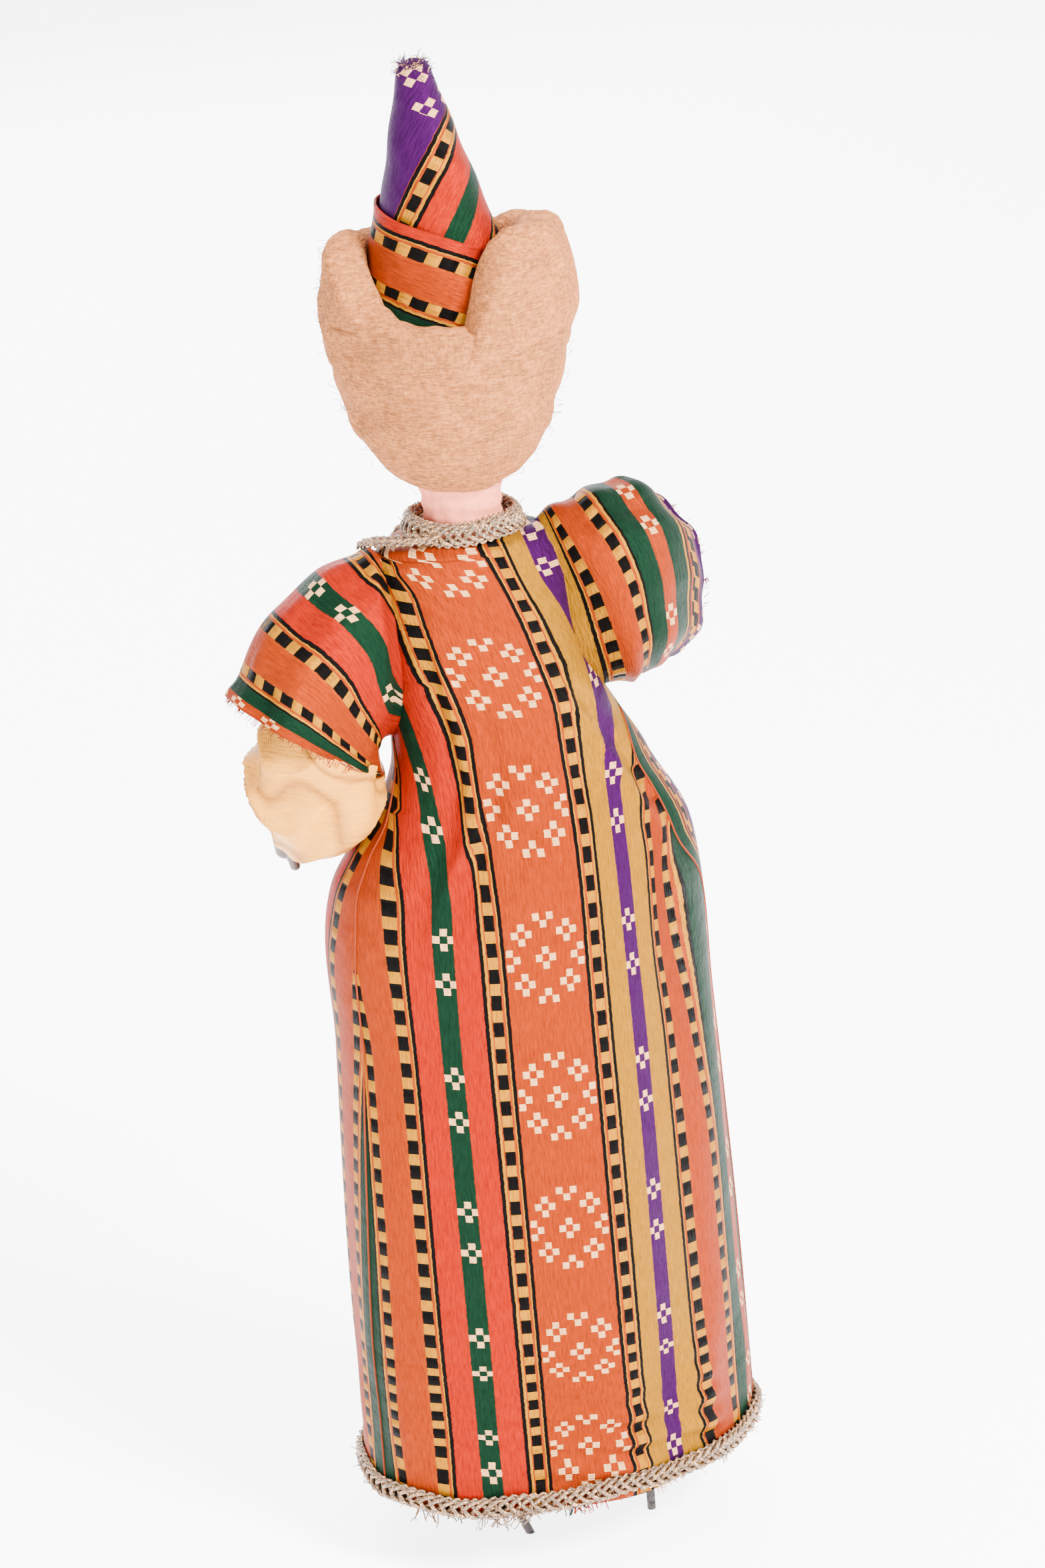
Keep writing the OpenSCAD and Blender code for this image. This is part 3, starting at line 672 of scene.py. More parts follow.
SEAM_RIGHT = [(14, 82), (90, 82), (112, 80), (123.3, 73), (135.6, 56), (143.9, 57), (150.8, 58),
              (155, 72), (158, 90)]
SEAM_RIGHT_U = [(14, 45), (90, 44.3), (112, 41.5), (123.3, 39.5), (135.6, 37), (143.9, 29), (150.8, 24.6),
                (157, 24), (166, 19), (177, 20), (185, 23), (190, 23), (193, 17)]


def table(rows, z):
    return float(smooth(*zip(*rows), z))


def warp_of_back(z):
    """Angles and warp places of the back panel at one height, seam to seam."""
    cx, cy, hw, hd = robe_row(z)
    s = arc_table(z)
    lo, hi = table(SEAM_LEFT, z), table(SEAM_RIGHT, z)
    knots = [(lo, table(SEAM_LEFT_U, z)), (hi, table(SEAM_RIGHT_U, z))]
    for u, rows in LINES_X.items():
        if z > rows[-1][0] + 2:
            continue
        q = (cx - table(rows, z)) / hw
        if abs(q) < 0.985:
            knots.append((degrees(asin(q)), u))
    for u, rows in LINES_S.items():
        if z <= rows[-1][0]:
            knots.append((float(interp(table(rows, z), s, DEG)), u))
    knots = sorted(k for k in knots if lo + 2 < k[0] < hi - 2 or k[0] in (lo, hi))
    keep = [knots[0]]
    for k in knots[1:]:
        if k[1] > keep[-1][1] + 0.4:
            keep.append(k)
    if keep[-1][0] < hi:
        keep.append((hi, max(table(SEAM_RIGHT_U, z), keep[-1][1] + 0.5)))
    return np.array(keep)


WEFT = [(13, -171), (26.3, -157.8), (44.2, -131.5), (68.7, -105.2), (93.9, -78.9), (120.2, -52.6),
        (145.8, -26.3), (169.2, 0), (187, 22), (193, 30)]
HEIGHTS = np.concatenate([linspace(14.6, 184, 190), linspace(184.6, 189.6, 12), linspace(190, 192.8, 10)])


def hem_drop(t):
    """The hem hangs a little unevenly."""
    return -0.9 * np.cos(np.radians(t + 20)) + 0.4 * np.sin(np.radians(t * 3))


def panel(name, edge_a, edge_b, warp, count=120, out=0.0):
    P, UV = [], []
    for z in HEIGHTS:
        t = linspace(edge_a(z), edge_b(z), count)
        points = around(z, t, out)
        points[:, 2] += hem_drop(t) * clip((40 - z) / 26, 0, 1)
        P.append(points)
        UV.append(pairs(warp(z, t), interp(z, *zip(*WEFT)) + 0.03 * t))
    return facing(grid(name, P, UV, MATS["striped_brocade"]), (0, 2, 100))


def back_warp(z, t):
    return interp(t, *warp_of_back(z).T)


def front_warp(seam, start, sign):
    def warp(z, t):
        s = arc_table(z)
        return start(z) + sign * np.abs(interp(t, DEG, s) - interp(table(seam, z), DEG, s))
    return warp


OPENING = [(13, 13.5), (16, 13), (100, 9), (150, 12), (185, 26), (193, 40)]


def opening(z):
    return float(interp(z, *zip(*OPENING)))


seam_left, seam_right = partial(table, SEAM_LEFT), partial(table, SEAM_RIGHT)
LAP = 0.4     # degrees by which a front panel laps over the back at the seam
back = panel("robe_back_panel", seam_left, seam_right, back_warp, 170)
front_left = panel("robe_front_panel_left", lambda z: opening(z) - 180, lambda z: seam_left(z) + LAP,
                   front_warp(SEAM_LEFT, partial(table, SEAM_LEFT_U), 1), 100, 0.15)
front_right = panel("robe_front_panel_right", lambda z: seam_right(z) - LAP, lambda z: 180 - opening(z),
                    front_warp(SEAM_RIGHT, lambda z: 43.5 + 0.8 * clip((112 - z) / 20, 0, 1), 1), 100, 0.15)


def fit(obj, body, slot, *stands_for):
    """Rides a piece on its body and hides the CAD nodes that it stands for; slot, the name of its finish, is
    not used.
    """
    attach(obj, body)
    if stands_for:
        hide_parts(*stands_for)


def declare(obj, mm=0.45):
    """Gives a sheet a thickness of mm millimetres. A sheet of assumed cut width; its length is what gives
    the piece's own area, so it is no measurement.
    """
    thick(obj, mm)


for panel_, width, node in ((back, 88, ["robe_body"]), (front_left, 46, []), (front_right, 44, [])):
    declare(panel_)
    fit(panel_, "torso", "striped_brocade", *node)

# sewn seams: a thin cord of thread sunk between the panels
seams = Strands()
for seam in (seam_left, seam_right):
    seams.add([around(z, [seam(z)], 0.02)[0] for z in HEIGHTS if z < 157], 0.22, 6)
fit(seams.made("robe_side_seams", [THREADS["coral"]]), "torso", "striped_brocade")

# ---- shirt

P, UV = [], []
t = linspace(-180, 180, 121)
for z in np.concatenate([linspace(27, 186, 90), linspace(187, 191.6, 8)]):
    points = around(z, t[:-1], -1.75, False)
    front = np.abs(np.abs(t[:-1]) - 180)
    points[:, 1] -= 0.22 * np.sin(np.radians(front * 14)) * bump(front, 0, 40) + 0.35 * bump(front, 0, 4.0)
    P.append(points)
    UV.append(pairs(t / 2, z))
shirt = facing(grid("shirt", P, UV, MATS["cream_satin"], ring=True), (0, 2, 100))
declare(shirt, 0.3)
fit(shirt, "torso", "cream_satin", "shirt_body", "chest_padding")

# ---- sleeves of the robe
# Each ring: middle, half-axis towards its top, half-axis towards the back, and the warp place of
# its top, its back and its lowest point. The first rings lie under the shoulder, inside the robe.
SLEEVES = {
    "left": [((13.0, 0, 174.5), (1.5, 0, 15.4), (0, 5.0, 0), (-3, -11, -21)),
             ((16.2, 0, 174.2), (.6, 0, 17.0), (0, 8.6, 0), (-6, -14.5, -23)),
             ((19.1, 0, 173.4), (0, 0, 17.5), (0, 12.0, 0), (-8.8, -17.5, -24.5)),
             ((23.4, .4, 171.0), (3.6, 0, 17.3), (0, 13.0, 0), (-16, -22.5, -29)),
             ((27.6, .8, 166.4), (8, 0, 16.0), (0, 13.0, 0), (-24.5, -29, -34)),
             ((31.0, 1.3, 161.8), (11.4, 0, 11.2), (0, 12.9, 0), (-35, -37, -39)),
             ((32.6, 1.5, 159.8), (12.5, 0, 8.6), (0, 12.6, 0), (-42.5, -42.5, -42.5))],
    "right": [((-13.5, 0, 176.5), (0.5, 0, 15.4), (0, 4, 0), (17, 18, 20)),
              ((-18.2, 0, 176.8), (3.0, 0, 16.9), (0, 7.4, 0), (26, 23.5, 23)),
              ((-23.2, 0, 177), (4, 0, 17.4), (0, 11.6, 0), (32, 29, 28)),
              ((-27, -1.4, 177.6), (2.4, 0, 17.9), (-1.6, 13, 0), (37.5, 35.5, 35)),
              ((-31.4, -5, 177.4), (0.4, 0, 17.9), (-5, 12.2, 0), (43.2, 43, 43)),
              ((-35.2, -10, 175.3), (0, 0, 16.4), (-7.8, 9.2, 0), (49, 50, 50.5)),
              ((-36.4, -12.2, 174.4), (0, 0, 15.6), (-8.3, 8.6, 0), (55.5, 55.5, 55.5))]}


def sleeve(side):
    """Hangs a sleeve and gives the ring at its cut edge: middle, half-axis up and half-axis to the rear."""
    rings = SLEEVES[side]
    at = linspace(0, len(rings) - 1, 60)
    mid, up, rear, warp = (np.stack([smooth(range(len(rings)), [r[k][c] for r in rings], at)
                                     for c in range(3)], 1) for k in range(4))
    phi = linspace(0, TAU, 121)
    c, s = np.cos(phi), np.sin(phi)
    P, UV = [], []
    for m, a, b, (u_top, u_rear, u_low), share in zip(mid, up, rear, warp, linspace(0, 1, 60)):
        flute = 0.45 * share * (np.sin(phi * 6 + 1.3) + 0.6 * np.sin(phi * 11 - 3 * share)) / 13
        crease = 0.0275 * np.sin(24.8 * share + 2.2 * c) * bump(s, 0.4, 0.9) * (0.4 + share)
        p = m + (1 + flute + crease)[:, None] * (c[:, None] * a + s[:, None] * b)
        P.append(p[:-1])
        u = u_rear + (u_top - u_rear) * clip(c, 0, 1) ** 1.6 + (u_low - u_rear) * clip(-c, 0, 1) ** 1.6
        UV.append(pairs(u, 8 - run(p) * 1.04))
    o = facing(grid(f"robe_sleeve_cloth_{side}", P, UV, MATS["striped_brocade"], ring=True), rings[3][0])
    declare(o)
    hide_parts(f"robe_sleeve_{side}", f"arm_padding_{side}")
    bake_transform(o)
    return mid[-1], up[-1], rear[-1]


RIMS = {side: sleeve(side) for side in SLEEVES}

# raw cut edges of the sleeves: short frayed ends of the warp
for side, second in (("left", "orange"), ("right", "purple")):
    c, up, rear = RIMS[side]
    fray = Strands()
    out = unit(np.cross(up, rear))
    if out[0] * (1 if side == "left" else -1) < 0:
        out = -out
    for _ in range(150):
        t = rng.uniform(0, TAU)
        p = c + cos(t) * up + sin(t) * rear
        rad, tang = unit(p - c), unit(cos(t) * rear - sin(t) * up)
        length = rng.uniform(0.5, 1.5)
        lean, swing = rng.uniform(-.7, .7), rng.uniform(-.1, .45)
        path = [p + out * length * q + tang * lean * q * q + rad * swing * q * q for q in (-.25, .3, .65, 1)]
        fray.add(path, 0.09, 4, rng.randrange(2), 0.6)
    fit(fray.made(f"frayed_sleeve_edge_{side}", [THREADS["coral"], THREADS[second]]), f"{side}_upper_arm",
        "striped_brocade")

# ---- shirt sleeves with their gathered cuffs


def puff(side, path, radii, phase):
    """A full sleeve of satin from inside the robe's sleeve, over the elbow, gathered in at the wrist."""
    k, q = linspace(0, 1, len(path)), linspace(0, 1, 100)
    line = np.stack([smooth(k, [p[c] for p in path], q) for c in range(3)], 1)
    phi = linspace(0, TAU, 161)
    P, UV = [], []
    ways = unit(np.gradient(line, axis=0))
    for mid, way, r, share, far in zip(line, ways, smooth(k, radii, q), q, run(line)):
        a = unit(np.cross(way, [0.96, 0.28, 0]))
        b = np.cross(a, way)
        full = sin(pi * min(1, share + 0.12)) ** 0.6
        pleats = 0.10 * share ** 3 * np.sin(phi * 10 + 2 * np.sin(phi * 2))
        swoop = np.sin(13 * share + 2.6 * np.sin(phi - phase) + 0.6 * np.sin(3 * phi))
        fold = 0.15 * (1 - np.abs(swoop) ** 0.7 * 2) * (0.25 + 0.75 * bump(np.sin((phi - phase) / 2), 0, 0.7))
        soft = 0.05 * np.sin(4 * phi + 7 * share) + 0.03 * np.sin(7 * phi - 11 * share)
        m = r * (1 + pleats + (fold + soft) * full)
        P.append((mid + m[:, None] * (np.cos(phi)[:, None] * b + np.sin(phi)[:, None] * a))[:-1])
        UV.append(pairs(phi * max(radii), far))
    o = facing(grid(f"shirt_sleeve_puff_{side}", P, UV, MATS["cream_satin"], ring=True), line[50])
    declare(o, 0.3)
    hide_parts(f"shirt_sleeve_{side}")
    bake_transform(o)


puff("left", [(30, 1, 164), (30.7, 2, 157), (31.4, 2, 150), (32, .2, 144.6), (33.6, -4, 141),
              (35, -7.6, 139.6)], [7.5, 11.2, 12.3, 10.4, 6.0, 2.4], 1.0)
puff("right", [(-34.5, -9, 173), (-36.6, -14, 170), (-37.6, -19, 168), (-36.4, -25, 166.4), (-35, -29.6, 165.4),
               (-34, -32.5, 165)], [6.4, 7.6, 8.0, 7.2, 4.8, 2.2], 2.0)

# ---- braids


def plait(strands, path, normals, width, pitch=4.2, count=4, r=0.42, seed=0, high=0.42):
    """Interlaced tinsel yarns along a path, bedded on a normal at each point."""
    s = run(path)
    samples = max(8, int(s[-1] / (pitch / 9)))
    t = linspace(0, s[-1], samples)
    p, out = (np.stack([interp(t, s, np.asarray(line, float)[:, k]) for k in range(3)], 1)
              for line in (path, normals))
    out = unit(out)
    side = np.cross(out, unit(np.gradient(p, axis=0)))
    uneven = np.random.default_rng(seed)
    knots = max(4, samples // 12)
    for k in range(count):
        w = TAU * t / pitch / 2 + TAU * k / count
        wob = interp(t, linspace(0, s[-1], knots), uneven.uniform(-.16, .16, knots))
        q = p + side * ((width / 2 - r) * np.sin(w) + wob)[:, None]
        strands.add(q + out * (high * (1 + np.sin(2 * w)) + r * 0.5)[:, None], r, 6)
    w = TAU * t / (pitch * 0.42)
    for edge in (-1, 1):
        q = p + side * (edge * (width / 2 - 0.15) + 0.28 * np.sin(w))[:, None]
        strands.add(q + out * (0.3 + 0.28 * np.cos(w))[:, None], r * 0.72)


def wild_end(strands, start, way, length, radius=0.09, mat=0, curl=0.5):
    p, d = np.array(start, float), unit(way)
    points = [p]
    for _ in range(7):
        d = unit(d + np.array([rng.gauss(0, curl * .5) for _ in range(3)]))
        p = p + d * length / 7
        points.append(p)
    strands.add(points, radius, 4, mat, 0.7)


def hem_z(t):
    return 16.5 + hem_drop(t) * 0.9 + 0.45 * np.sin(np.radians(4 * t + 50)) + 0.3 * np.sin(np.radians(11 * t))


def outward(t, z, out, height=None):
    """A point out from the robe at angle t and height z, set to another height if given, and the way out."""
    p, q = around(z, [t], out)[0], around(z, [t], out + 1)[0]
    way = unit(q - p)
    if height is not None:
        p[2] = height
    return p, way


hem = Strands()
plait(hem, *zip(*(outward(t, 18, 0.35, hem_z(t) + 0.4) for t in linspace(-165, 165, 240))), 3.7, seed=3)
for _ in range(150):
    t = rng.uniform(-162, 162)
    p, way = outward(t, 18, 0.9, hem_z(t) + rng.uniform(-1.4, 1.2))
    wild_end(hem, p, way * .7 + (0, 0, rng.uniform(-.9, .5)), rng.uniform(0.8, 2.4), 0.1)
for _ in range(60):   # the frayed join of the braid at the back
    t = rng.uniform(-34, -16)
    p, way = outward(t, 18, 0.7, hem_z(t) - rng.uniform(-0.2, 2.1))
    wild_end(hem, p, way + (rng.uniform(-.6, .6), 0, rng.uniform(-1.2, .2)), rng.uniform(1.6, 4.2), 0.13, 0, .9)
fit(hem.made("hem_braid_tinsel", TINSEL), "torso", "metal_thread_braid", "hem_braid")

for side, sign in (("left", -1), ("right", 1)):
    braid = Strands()
    line = (outward(sign * (177.4 - opening(z)), z, 0.2) for z in linspace(21.6, 192, 150))
    plait(braid, *zip(*line), 3.4, seed=5 + sign)
    fit(braid.made(f"front_braid_tinsel_{side}", TINSEL), "torso", "metal_thread_braid", f"front_braid_{side}")

collar = Strands()
a = np.radians(linspace(180, 540, 90))
ring, ways = about(9.7, a, 194.3 + 0.35 * np.sin(3 * a)), about(1, a, 0.35)
plait(collar, ring, ways, 3.6, pitch=3.4, seed=9, high=0.35)
plait(collar, ring * (.96, .96, 1) + (0, 0, 1.2), ways, 1.8, pitch=2.6, count=3, r=.34, seed=11, high=0.3)
tail = [(6.5, 7.8, 193.6), (10.5, 5.6, 193.2), (14.0, 2.6, 192.6), (16.6, -1.2, 191.9), (17.6, -5.0, 190.6)]
plait(collar, tail, [(0.2, .3, 1)] * 5, 2.6, pitch=3.4, seed=12, high=0.3)
for _ in range(60):
    a = rng.uniform(0, TAU)
    p = about(10.2, a, 194.3 + rng.uniform(-1.5, 1.5))
    wild_end(collar, p, about(1, a, rng.uniform(-.8, .8)), rng.uniform(.8, 2.0), 0.09, 0, 0.9)
fit(collar.made("collar_braid_tinsel", TINSEL), "torso", "metal_thread_braid", "collar_braid")

# loose threads and cut ends of the cloth showing under the hem: angle, thread, how many, how long
tufts = Strands()
names = list(THREADS)
for t, colour, how_many, drop in ((-52, "beige", 10, 4.2), (-44, "green", 12, 2.4), (-25, "coral", 14, 2.6),
                                  (-8, "green", 14, 3.0), (-2, "orange", 16, 3.4), (10, "coral", 10, 2.4),
                                  (20, "cream", 10, 3.2), (47, "purple", 16, 2.6), (54, "yellow", 8, 2.0),
                                  (73, "coral", 12, 3.0), (80, "cream", 8, 2.6), (120, "purple", 8, 2.2),
                                  (-120, "orange", 8, 2.2), (-90, "coral", 8, 2.2)):
    for _ in range(how_many):
        angle = t + rng.uniform(-4, 4)
        p, way = outward(angle, 17, -0.4, hem_z(angle) - 0.9)
        wild_end(tufts, p, way * rng.uniform(0, .6) + (rng.uniform(-.4, .4), 0, -1), rng.uniform(.5, 1) * drop,
                 0.14, names.index(colour), 0.4)
fit(tufts.made("loose_threads_at_hem", list(THREADS.values())), "torso", "striped_brocade")

# ---- neck cloth

P, UV = [], []
phi = linspace(0, TAU, 97)
for z in linspace(187.6, 204.6, 46):
    r = 7.15 + 0.175 * cos((z - 187.6) / 17 * TAU) + 0.3 * bump(z, 204, 3)
    r = r + 0.14 * np.sin(z * 2.1 + 1.8 * np.sin(phi * 2)) + 0.10 * np.sin(phi * 13 + z * .3)
    P.append(about(r, phi, z)[:-1])
    UV.append(pairs(phi * 7, z))
neck = facing(grid("neck_cloth_wrap", P, UV, MATS["neck_cloth"], ring=True), (0, 0, 196))
declare(neck, 0.3)
fit(neck, "head", "neck_cloth", "neck_sleeve")

# ---- turban of cotton wadding
# The wads' outer radius at each height, and the heights of their upper rims round the head.
OUT_R = [(201.4, 7.3), (202.6, 9.8), (205, 12.6), (210.5, 16.3), (218, 19.2), (226, 21.0), (234, 21.5),
         (240, 20.8), (247, 19.4), (253, 18)]
RIM = [(-180, 244), (-140, 245.5), (-112, 247), (-92, 246), (-76, 242.5), (-62, 237.6), (-46, 234.8),
       (-20, 233.8), (2, 233.4), (20, 234.4), (40, 240), (60, 244), (80, 245), (120, 245), (180, 244)]
FOLD_RIM = [(-9, 228), (-1, 233.6), (7, 239.6), (15, 243.6), (24, 246.8), (36, 248), (60, 247.6),
            (90, 246.6), (150, 243)]


def out_r(z):
    return smooth(*zip(*OUT_R), z)


def pillow(name, azimuths, section, closed, seed, amount):
    """A wad of cotton from closed sections along a run of azimuths (0 at the back, towards the right)."""
    P = np.array([about(q[:, 0], radians(a), q[:, 1]) for a, q in ((a, section(a)) for a in azimuths)])
    d = unit(P - P.mean(1, keepdims=True))
    P = P + d * (lumps(P, 9.0, amount, seed) + lumps(P, 2.6, amount * 0.28, seed + 1))[:, :, None]
    if closed:
        P = np.vstack([P, P[:1]])
    o = grid(name, P, None, MATS["wadding"], ring=True, ends=not closed)
    bm = bmesh.new()
    bm.from_mesh(o.data)
    bmesh.ops.remove_doubles(bm, verts=bm.verts, dist=1e-6)
    bmesh.ops.recalc_face_normals(bm, faces=bm.faces)
    bm.to_mesh(o.data)
    bm.free()
    return o


def rounded(ro, ri, base, rise, stop, samples):
    """The rounded top of a wad, from its outer radius over to its inner one."""
    t = linspace(0.12, pi - stop, samples)
    return pairs((ro + ri) / 2 + (ro - ri) / 2 * np.cos(t), base + rise * np.sin(t) ** 0.8)


def nape_section(a):
    z = linspace(201.6, 233, 44)
    r = out_r(z)
    inner = np.where(z < 205, np.minimum(r - 0.5, 7.8), np.minimum(16.0, r - 1.2))
    outer = inner + (r - inner) * (1 - 0.9 * clip((abs(a) - 100) / 17, 0, 1) ** 2)
    return np.concatenate([pairs(outer, z), pairs(inner, z)[::-1]])


def roll_section(a):
    low, ri, base = 224.5, 13.1, float(interp(a, *zip(*RIM))) - 3.4
    z = linspace(low, base, 30)
    r = out_r(z) + 0.25
    r[:3] -= (1.5, 0.7, 0.2)    # the lowest edge tucked in under the wad
    bottom = pairs(linspace(ri + 1, float(out_r(low)) - 2.5, 6), linspace(228, low + 0.2, 6))
    return np.concatenate([pairs(r, z), rounded(float(out_r(base)) + 0.25, ri, base, 3.4, 0.12, 18),
                           pairs(ri, linspace(base - 0.2, 229.0, 14)), bottom])


def fold_section(a):
    """The end of the roll that passes over to the right; its edge leans right as it rises."""
    top = float(interp(a, *zip(*FOLD_RIM))) + 0.4
    z = linspace(min(227.5 + 2.5 * sin(radians(a)), top - 4), top - 2.8, 30)
    start = interp(z, [226, 228, 233.6, 239.6, 243.6, 246.8], [-12, -9, -1, 7, 15, 24])
    t = clip((a - start) / 4.5, 0, 1) * clip((150 - a) / 30, 0, 1)
    r = out_r(z) - 0.4 + 2.3 * np.sqrt(t) - 2.2 * clip((233.5 - z) / 6, 0, 1) ** 2
    lift = 0.9 * sqrt(float(t[-1]))
    return np.concatenate([pairs(r, z), rounded(float(r[-1]), 13.0, top - 4 + lift, 2.9 + lift, 0.2, 16),
                           pairs(linspace(13.2, 19.5, 10), linspace(top - 5, 230, 10))])


for o, node in ((pillow("turban_nape_wadding", linspace(-116, 116, 110), nape_section, False, 21, 0.5),
                 "nape_wrap"),
                (pillow("turban_roll_wadding", linspace(-180, 178, 180), roll_section, True, 22, 0.62),
                 "turban_roll"),
                (pillow("turban_fold_wadding", linspace(-8.5, 150, 150), fold_section, False, 23, 0.4),
                 "turban_fold")):
    fit(o, "head", "wadding", node)

fuzz = Strands()
for _ in range(420):
    a = rng.uniform(-180, 180)
    z = rng.uniform(226 if abs(a) > 112 else 203, float(interp(a, *zip(*RIM))) - 1)
    ar = radians(a)
    tang = np.array([-cos(ar), -sin(ar), rng.uniform(-.5, .5)]) * rng.choice((-1, 1))
    p, out = about(float(out_r(z)) + 0.55, ar, z), about(1, ar, 0.1)
    lift = (0, -.2), (1.0, .25), (2.0, rng.uniform(.3, .8)), (3.2, rng.uniform(-.1, 1.0))
    fuzz.add([p + tang * length + out * h for length, h in lift], 0.045, 3)
fit(fuzz.made("wadding_fibres", [THREADS["beige"]]), "head", "wadding")

# ---- pointed cap in two wraps of cloth
BASE_Z, LEAN = 235.05, radians(3)
FOOT = 12.6      # radius of the cap's former at its foot
SLOPE = (FOOT - 1.8) / 41.5
APEX = FOOT / SLOPE
ALPHA = atan(SLOPE)


def cap_point(h, az, out):
    """h up the cap's own axis, az from the side that faces back-left, out from its former."""
    x, y, h = np.moveaxis(about(FOOT - SLOPE * h + out, np.radians(az - 14), h), -1, 0)
    return np.stack([x * cos(LEAN) + h * sin(LEAN), y, BASE_Z + h * cos(LEAN) - x * sin(LEAN)], -1)


def unrolled(h, az):
    long = (APEX - h) / cos(ALPHA)
    psi = np.radians(az) * sin(ALPHA)
    return long * np.sin(psi), long * np.cos(psi)


P, UV = [], []
az = linspace(-190, 190, 141)
for h in np.concatenate([linspace(-2.6, 39.5, 96), linspace(39.8, 42.4, 10)]):
    over = 0.75 + 0.35 * (az + 190) / 380 - 2.0 * clip((h - 40.2) / 2.2, 0, 1) ** 2
    P.append(cap_point(h, az, over + 0.16 * np.sin(h * 0.55 + az * 0.03) * bump(h, 26, 14)))
    X, Y = unrolled(h, az)
    UV.append(pairs(-(7.25 + X * 0.839 + (Y - 22.1) * 0.545), -X * 0.545 + Y * 0.839 - 7.0))
upper = facing(grid("cap_upper_wrap", P, UV, MATS["cap cloth"]), (1, 0, 250))
declare(upper, 0.4)

P, UV = [], []
az = linspace(-176, 100, 121)
psi = np.radians(az) * sin(ALPHA)
top = clip(APEX - 31.12 / (0.875 * np.cos(psi) - 0.485 * np.sin(psi)) * cos(ALPHA), -2.0, 25)
for q in linspace(0, 1, 50):
    h = -2.4 + (top + 2.4) * q
    P.append(cap_point(h, az, 1.75 + 0.22 * q + 0.15 * np.sin(h * 0.8 - az * 0.05)))
    X, Y = unrolled(h, az)
    UV.append(pairs(-(22.4 - (X + 2.1) * 0.485 + (Y - 34.4) * 0.875), X * 0.875 + Y * 0.485))
lower = facing(grid("cap_lower_wrap", P, UV, MATS["striped_brocade"]), (1, 0, 242))
declare(lower)
for o, node in ((upper, "cap_upper_cover"), (lower, "cap_lower_cover")):
    fit(o, "head", "striped_brocade", node)
tip = Strands()
for _ in range(330):
    a = rng.uniform(0, 360)
    p = cap_point(rng.uniform(39.6, 42.0), a, rng.uniform(-.9, .5))
    way = (p[0] - 2.2, p[1], rng.uniform(-0.5, 2.2))
    wild_end(tip, p, way, rng.uniform(0.8, 2.3), 0.075, rng.choice((0, 0, 0, 1)), 0.9)
fit(tip.made("frayed_cap_tip", [THREADS["purple"], THREADS["cream"]]), "head", "striped_brocade")

# ---- face, its brows and lips

face, lips = Strands(), Strands()
HEAD_Z, HEAD_R = 219, 17.0


def on_face(az, z):
    """A point on the painted face, az to the doll's left of its nose."""
    a = radians(az)
    return about(sqrt(HEAD_R ** 2 - (z - HEAD_Z) ** 2) + 0.25, a + pi, z)


for sign in (-1, 1):
    face.add([on_face(sign * a, 222.9 + 0.9 * sin((a - 9) / 26 * pi)) for a in linspace(9, 35, 14)],
             0.42, 6, 0, 0.5)
    lips.add([on_face(sign * a, 211.4 - 0.05 * a + 0.35 * sin(a / 11 * pi)) for a in linspace(0, 11, 10)],
             0.5, 6, 0, 0.35)
    lips.add([on_face(sign * a, 210.5 + 0.004 * a * a) for a in linspace(0, 10, 9)], 0.55, 6, 0, 0.35)
    for q in (0, 1, 2):
        face.add([on_face(sign * a, 212.9 - 0.08 * a - 0.35 * q - 0.014 * a * a)
                  for a in linspace(1.5, 17, 12)], 0.3, 5, 0, 0.4)
fit(face.made("painted_brows_and_moustache", [MATS["brow"]]), "head", "painted_head")
fit(lips.made("painted_lips", [MATS["lips"]]), "head", "painted_head")

# ---- camera, floor and studio light

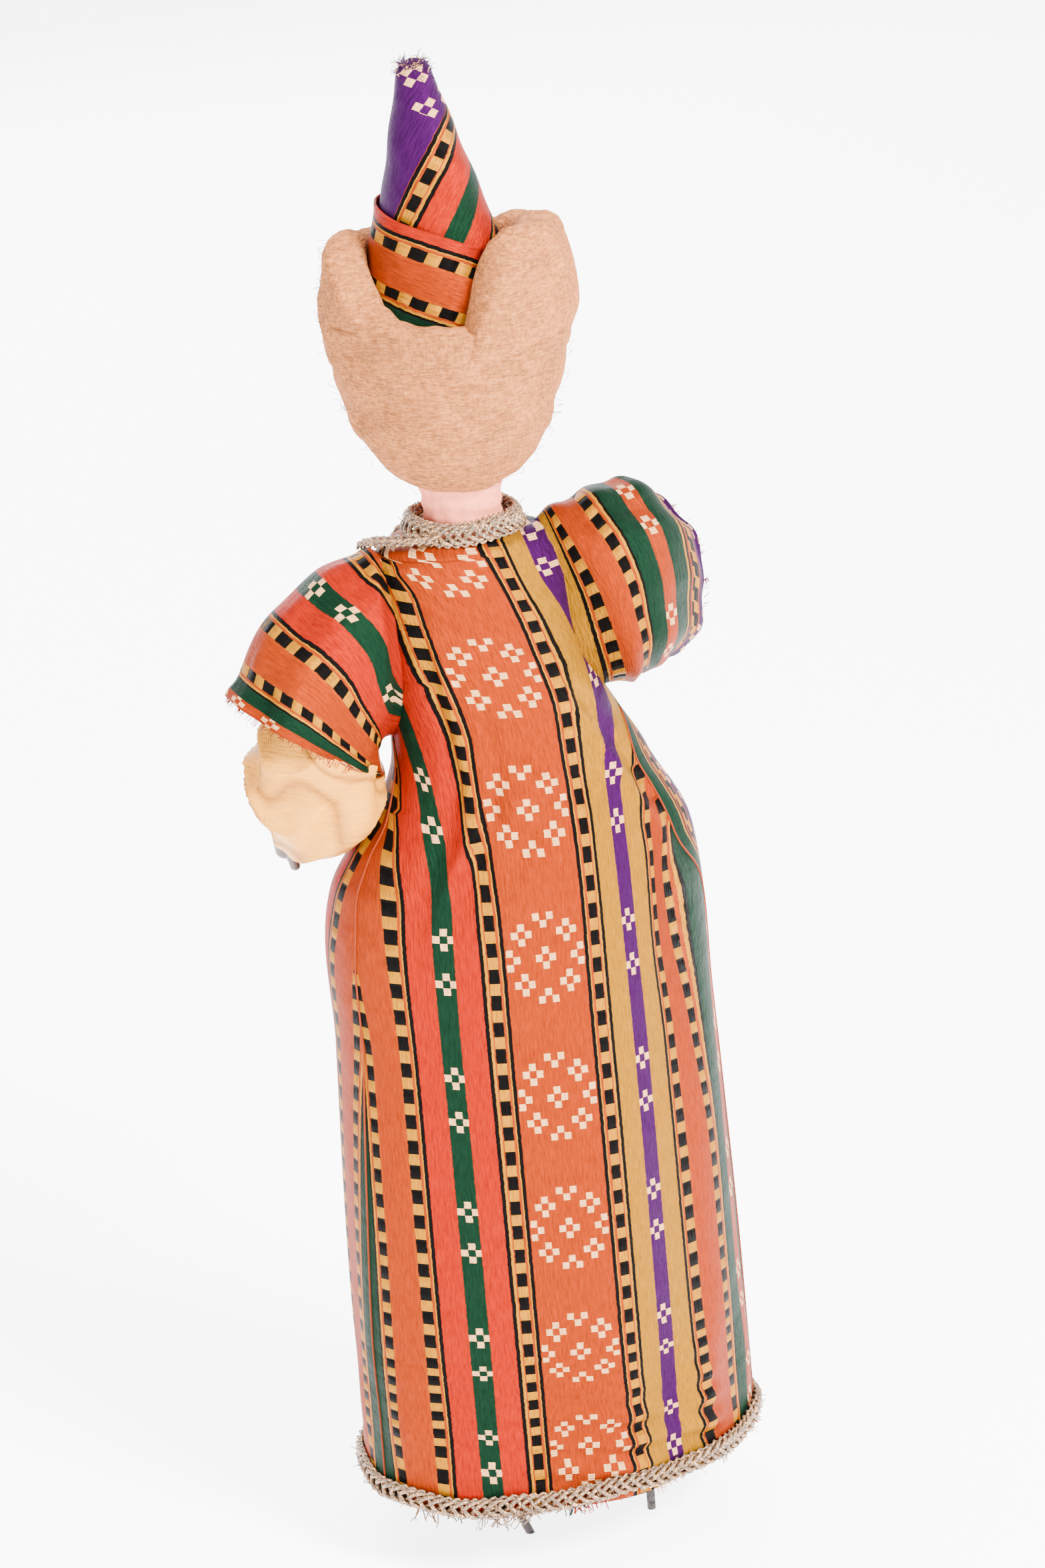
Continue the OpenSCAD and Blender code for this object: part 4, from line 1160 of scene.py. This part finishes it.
AIM = np.array([0, 0, 140.0])
az, el, tilt = radians(166), radians(20), radians(4.75)
rear = np.array([sin(az) * cos(el), -cos(az) * cos(el), sin(el)])
right = unit(np.cross(-rear, [0, 0, 1]))
upward = np.cross(right, -rear)
R = cos(tilt) * right - sin(tilt) * upward
U = sin(tilt) * right + cos(tilt) * upward
place = AIM + rear * 1000 + 6.3 * R + 3.9 * U
cam = bpy.data.objects.new("camera", bpy.data.cameras.new("camera"))
cam.data.lens, cam.data.sensor_width, cam.data.clip_end = 127.55, 36, 20
cam.matrix_world = Matrix.Translation(placed(place)) @ Matrix(np.stack([R, U, rear], 1).tolist()).to_4x4()
bpy.context.scene.collection.objects.link(cam)
bpy.context.scene.camera = cam

# a round floor that sweeps up into the backdrop; the tiny first ring closes its middle
sweep = [(r, 1300 * max(0, (r - 3000) / 1500) ** 2) for r in (0.05, 600, 3000, 3300, 3600, 3900, 4200, 4500)]
rings = [[(r * cos(t), r * sin(t), z) for t in linspace(0, TAU, 65)[:-1]] for r, z in sweep]
pale = material("pale floor", lambda n: {"colour": (0.9, 0.9, 0.915, 1)}, spec=0.2, glow=4.5)
floor = grid("floor", rings, None, pale, ring=True)
if floor.data.polygons[0].normal.z < 0:
    floor.data.flip_normals()
stage = [floor]
for name, where, size, power, tint in (
        ("key light", (-500, 900, 900), 380, 105, (1, 0.98, 0.95)),
        ("fill light", (900, 700, 500), 800, 14, (0.95, 0.97, 1)),
        ("top light", (100, -200, 1300), 900, 30, (1, 1, 1)),
        ("front light", (0, -1100, 600), 900, 20, (1, 1, 1))):
    light = bpy.data.lights.new(name, "AREA")
    light.energy, light.size, light.color = power, size / 1000, tint
    o = bpy.data.objects.new(name, light)
    o.location = placed(where)
    o.rotation_euler = (Vector(placed((0, 0, 120))) - o.location).to_track_quat("-Z", "Y").to_euler()
    bpy.context.scene.collection.objects.link(o)
    stage.append(o)
world = bpy.data.worlds.new("studio")
world.use_nodes = True
bg = world.node_tree.nodes["Background"]
bg.inputs[0].default_value = (0.93, 0.94, 1.0, 1)
bg.inputs[1].default_value = 1.1
bpy.context.scene.world = world
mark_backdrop(*stage)

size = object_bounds()
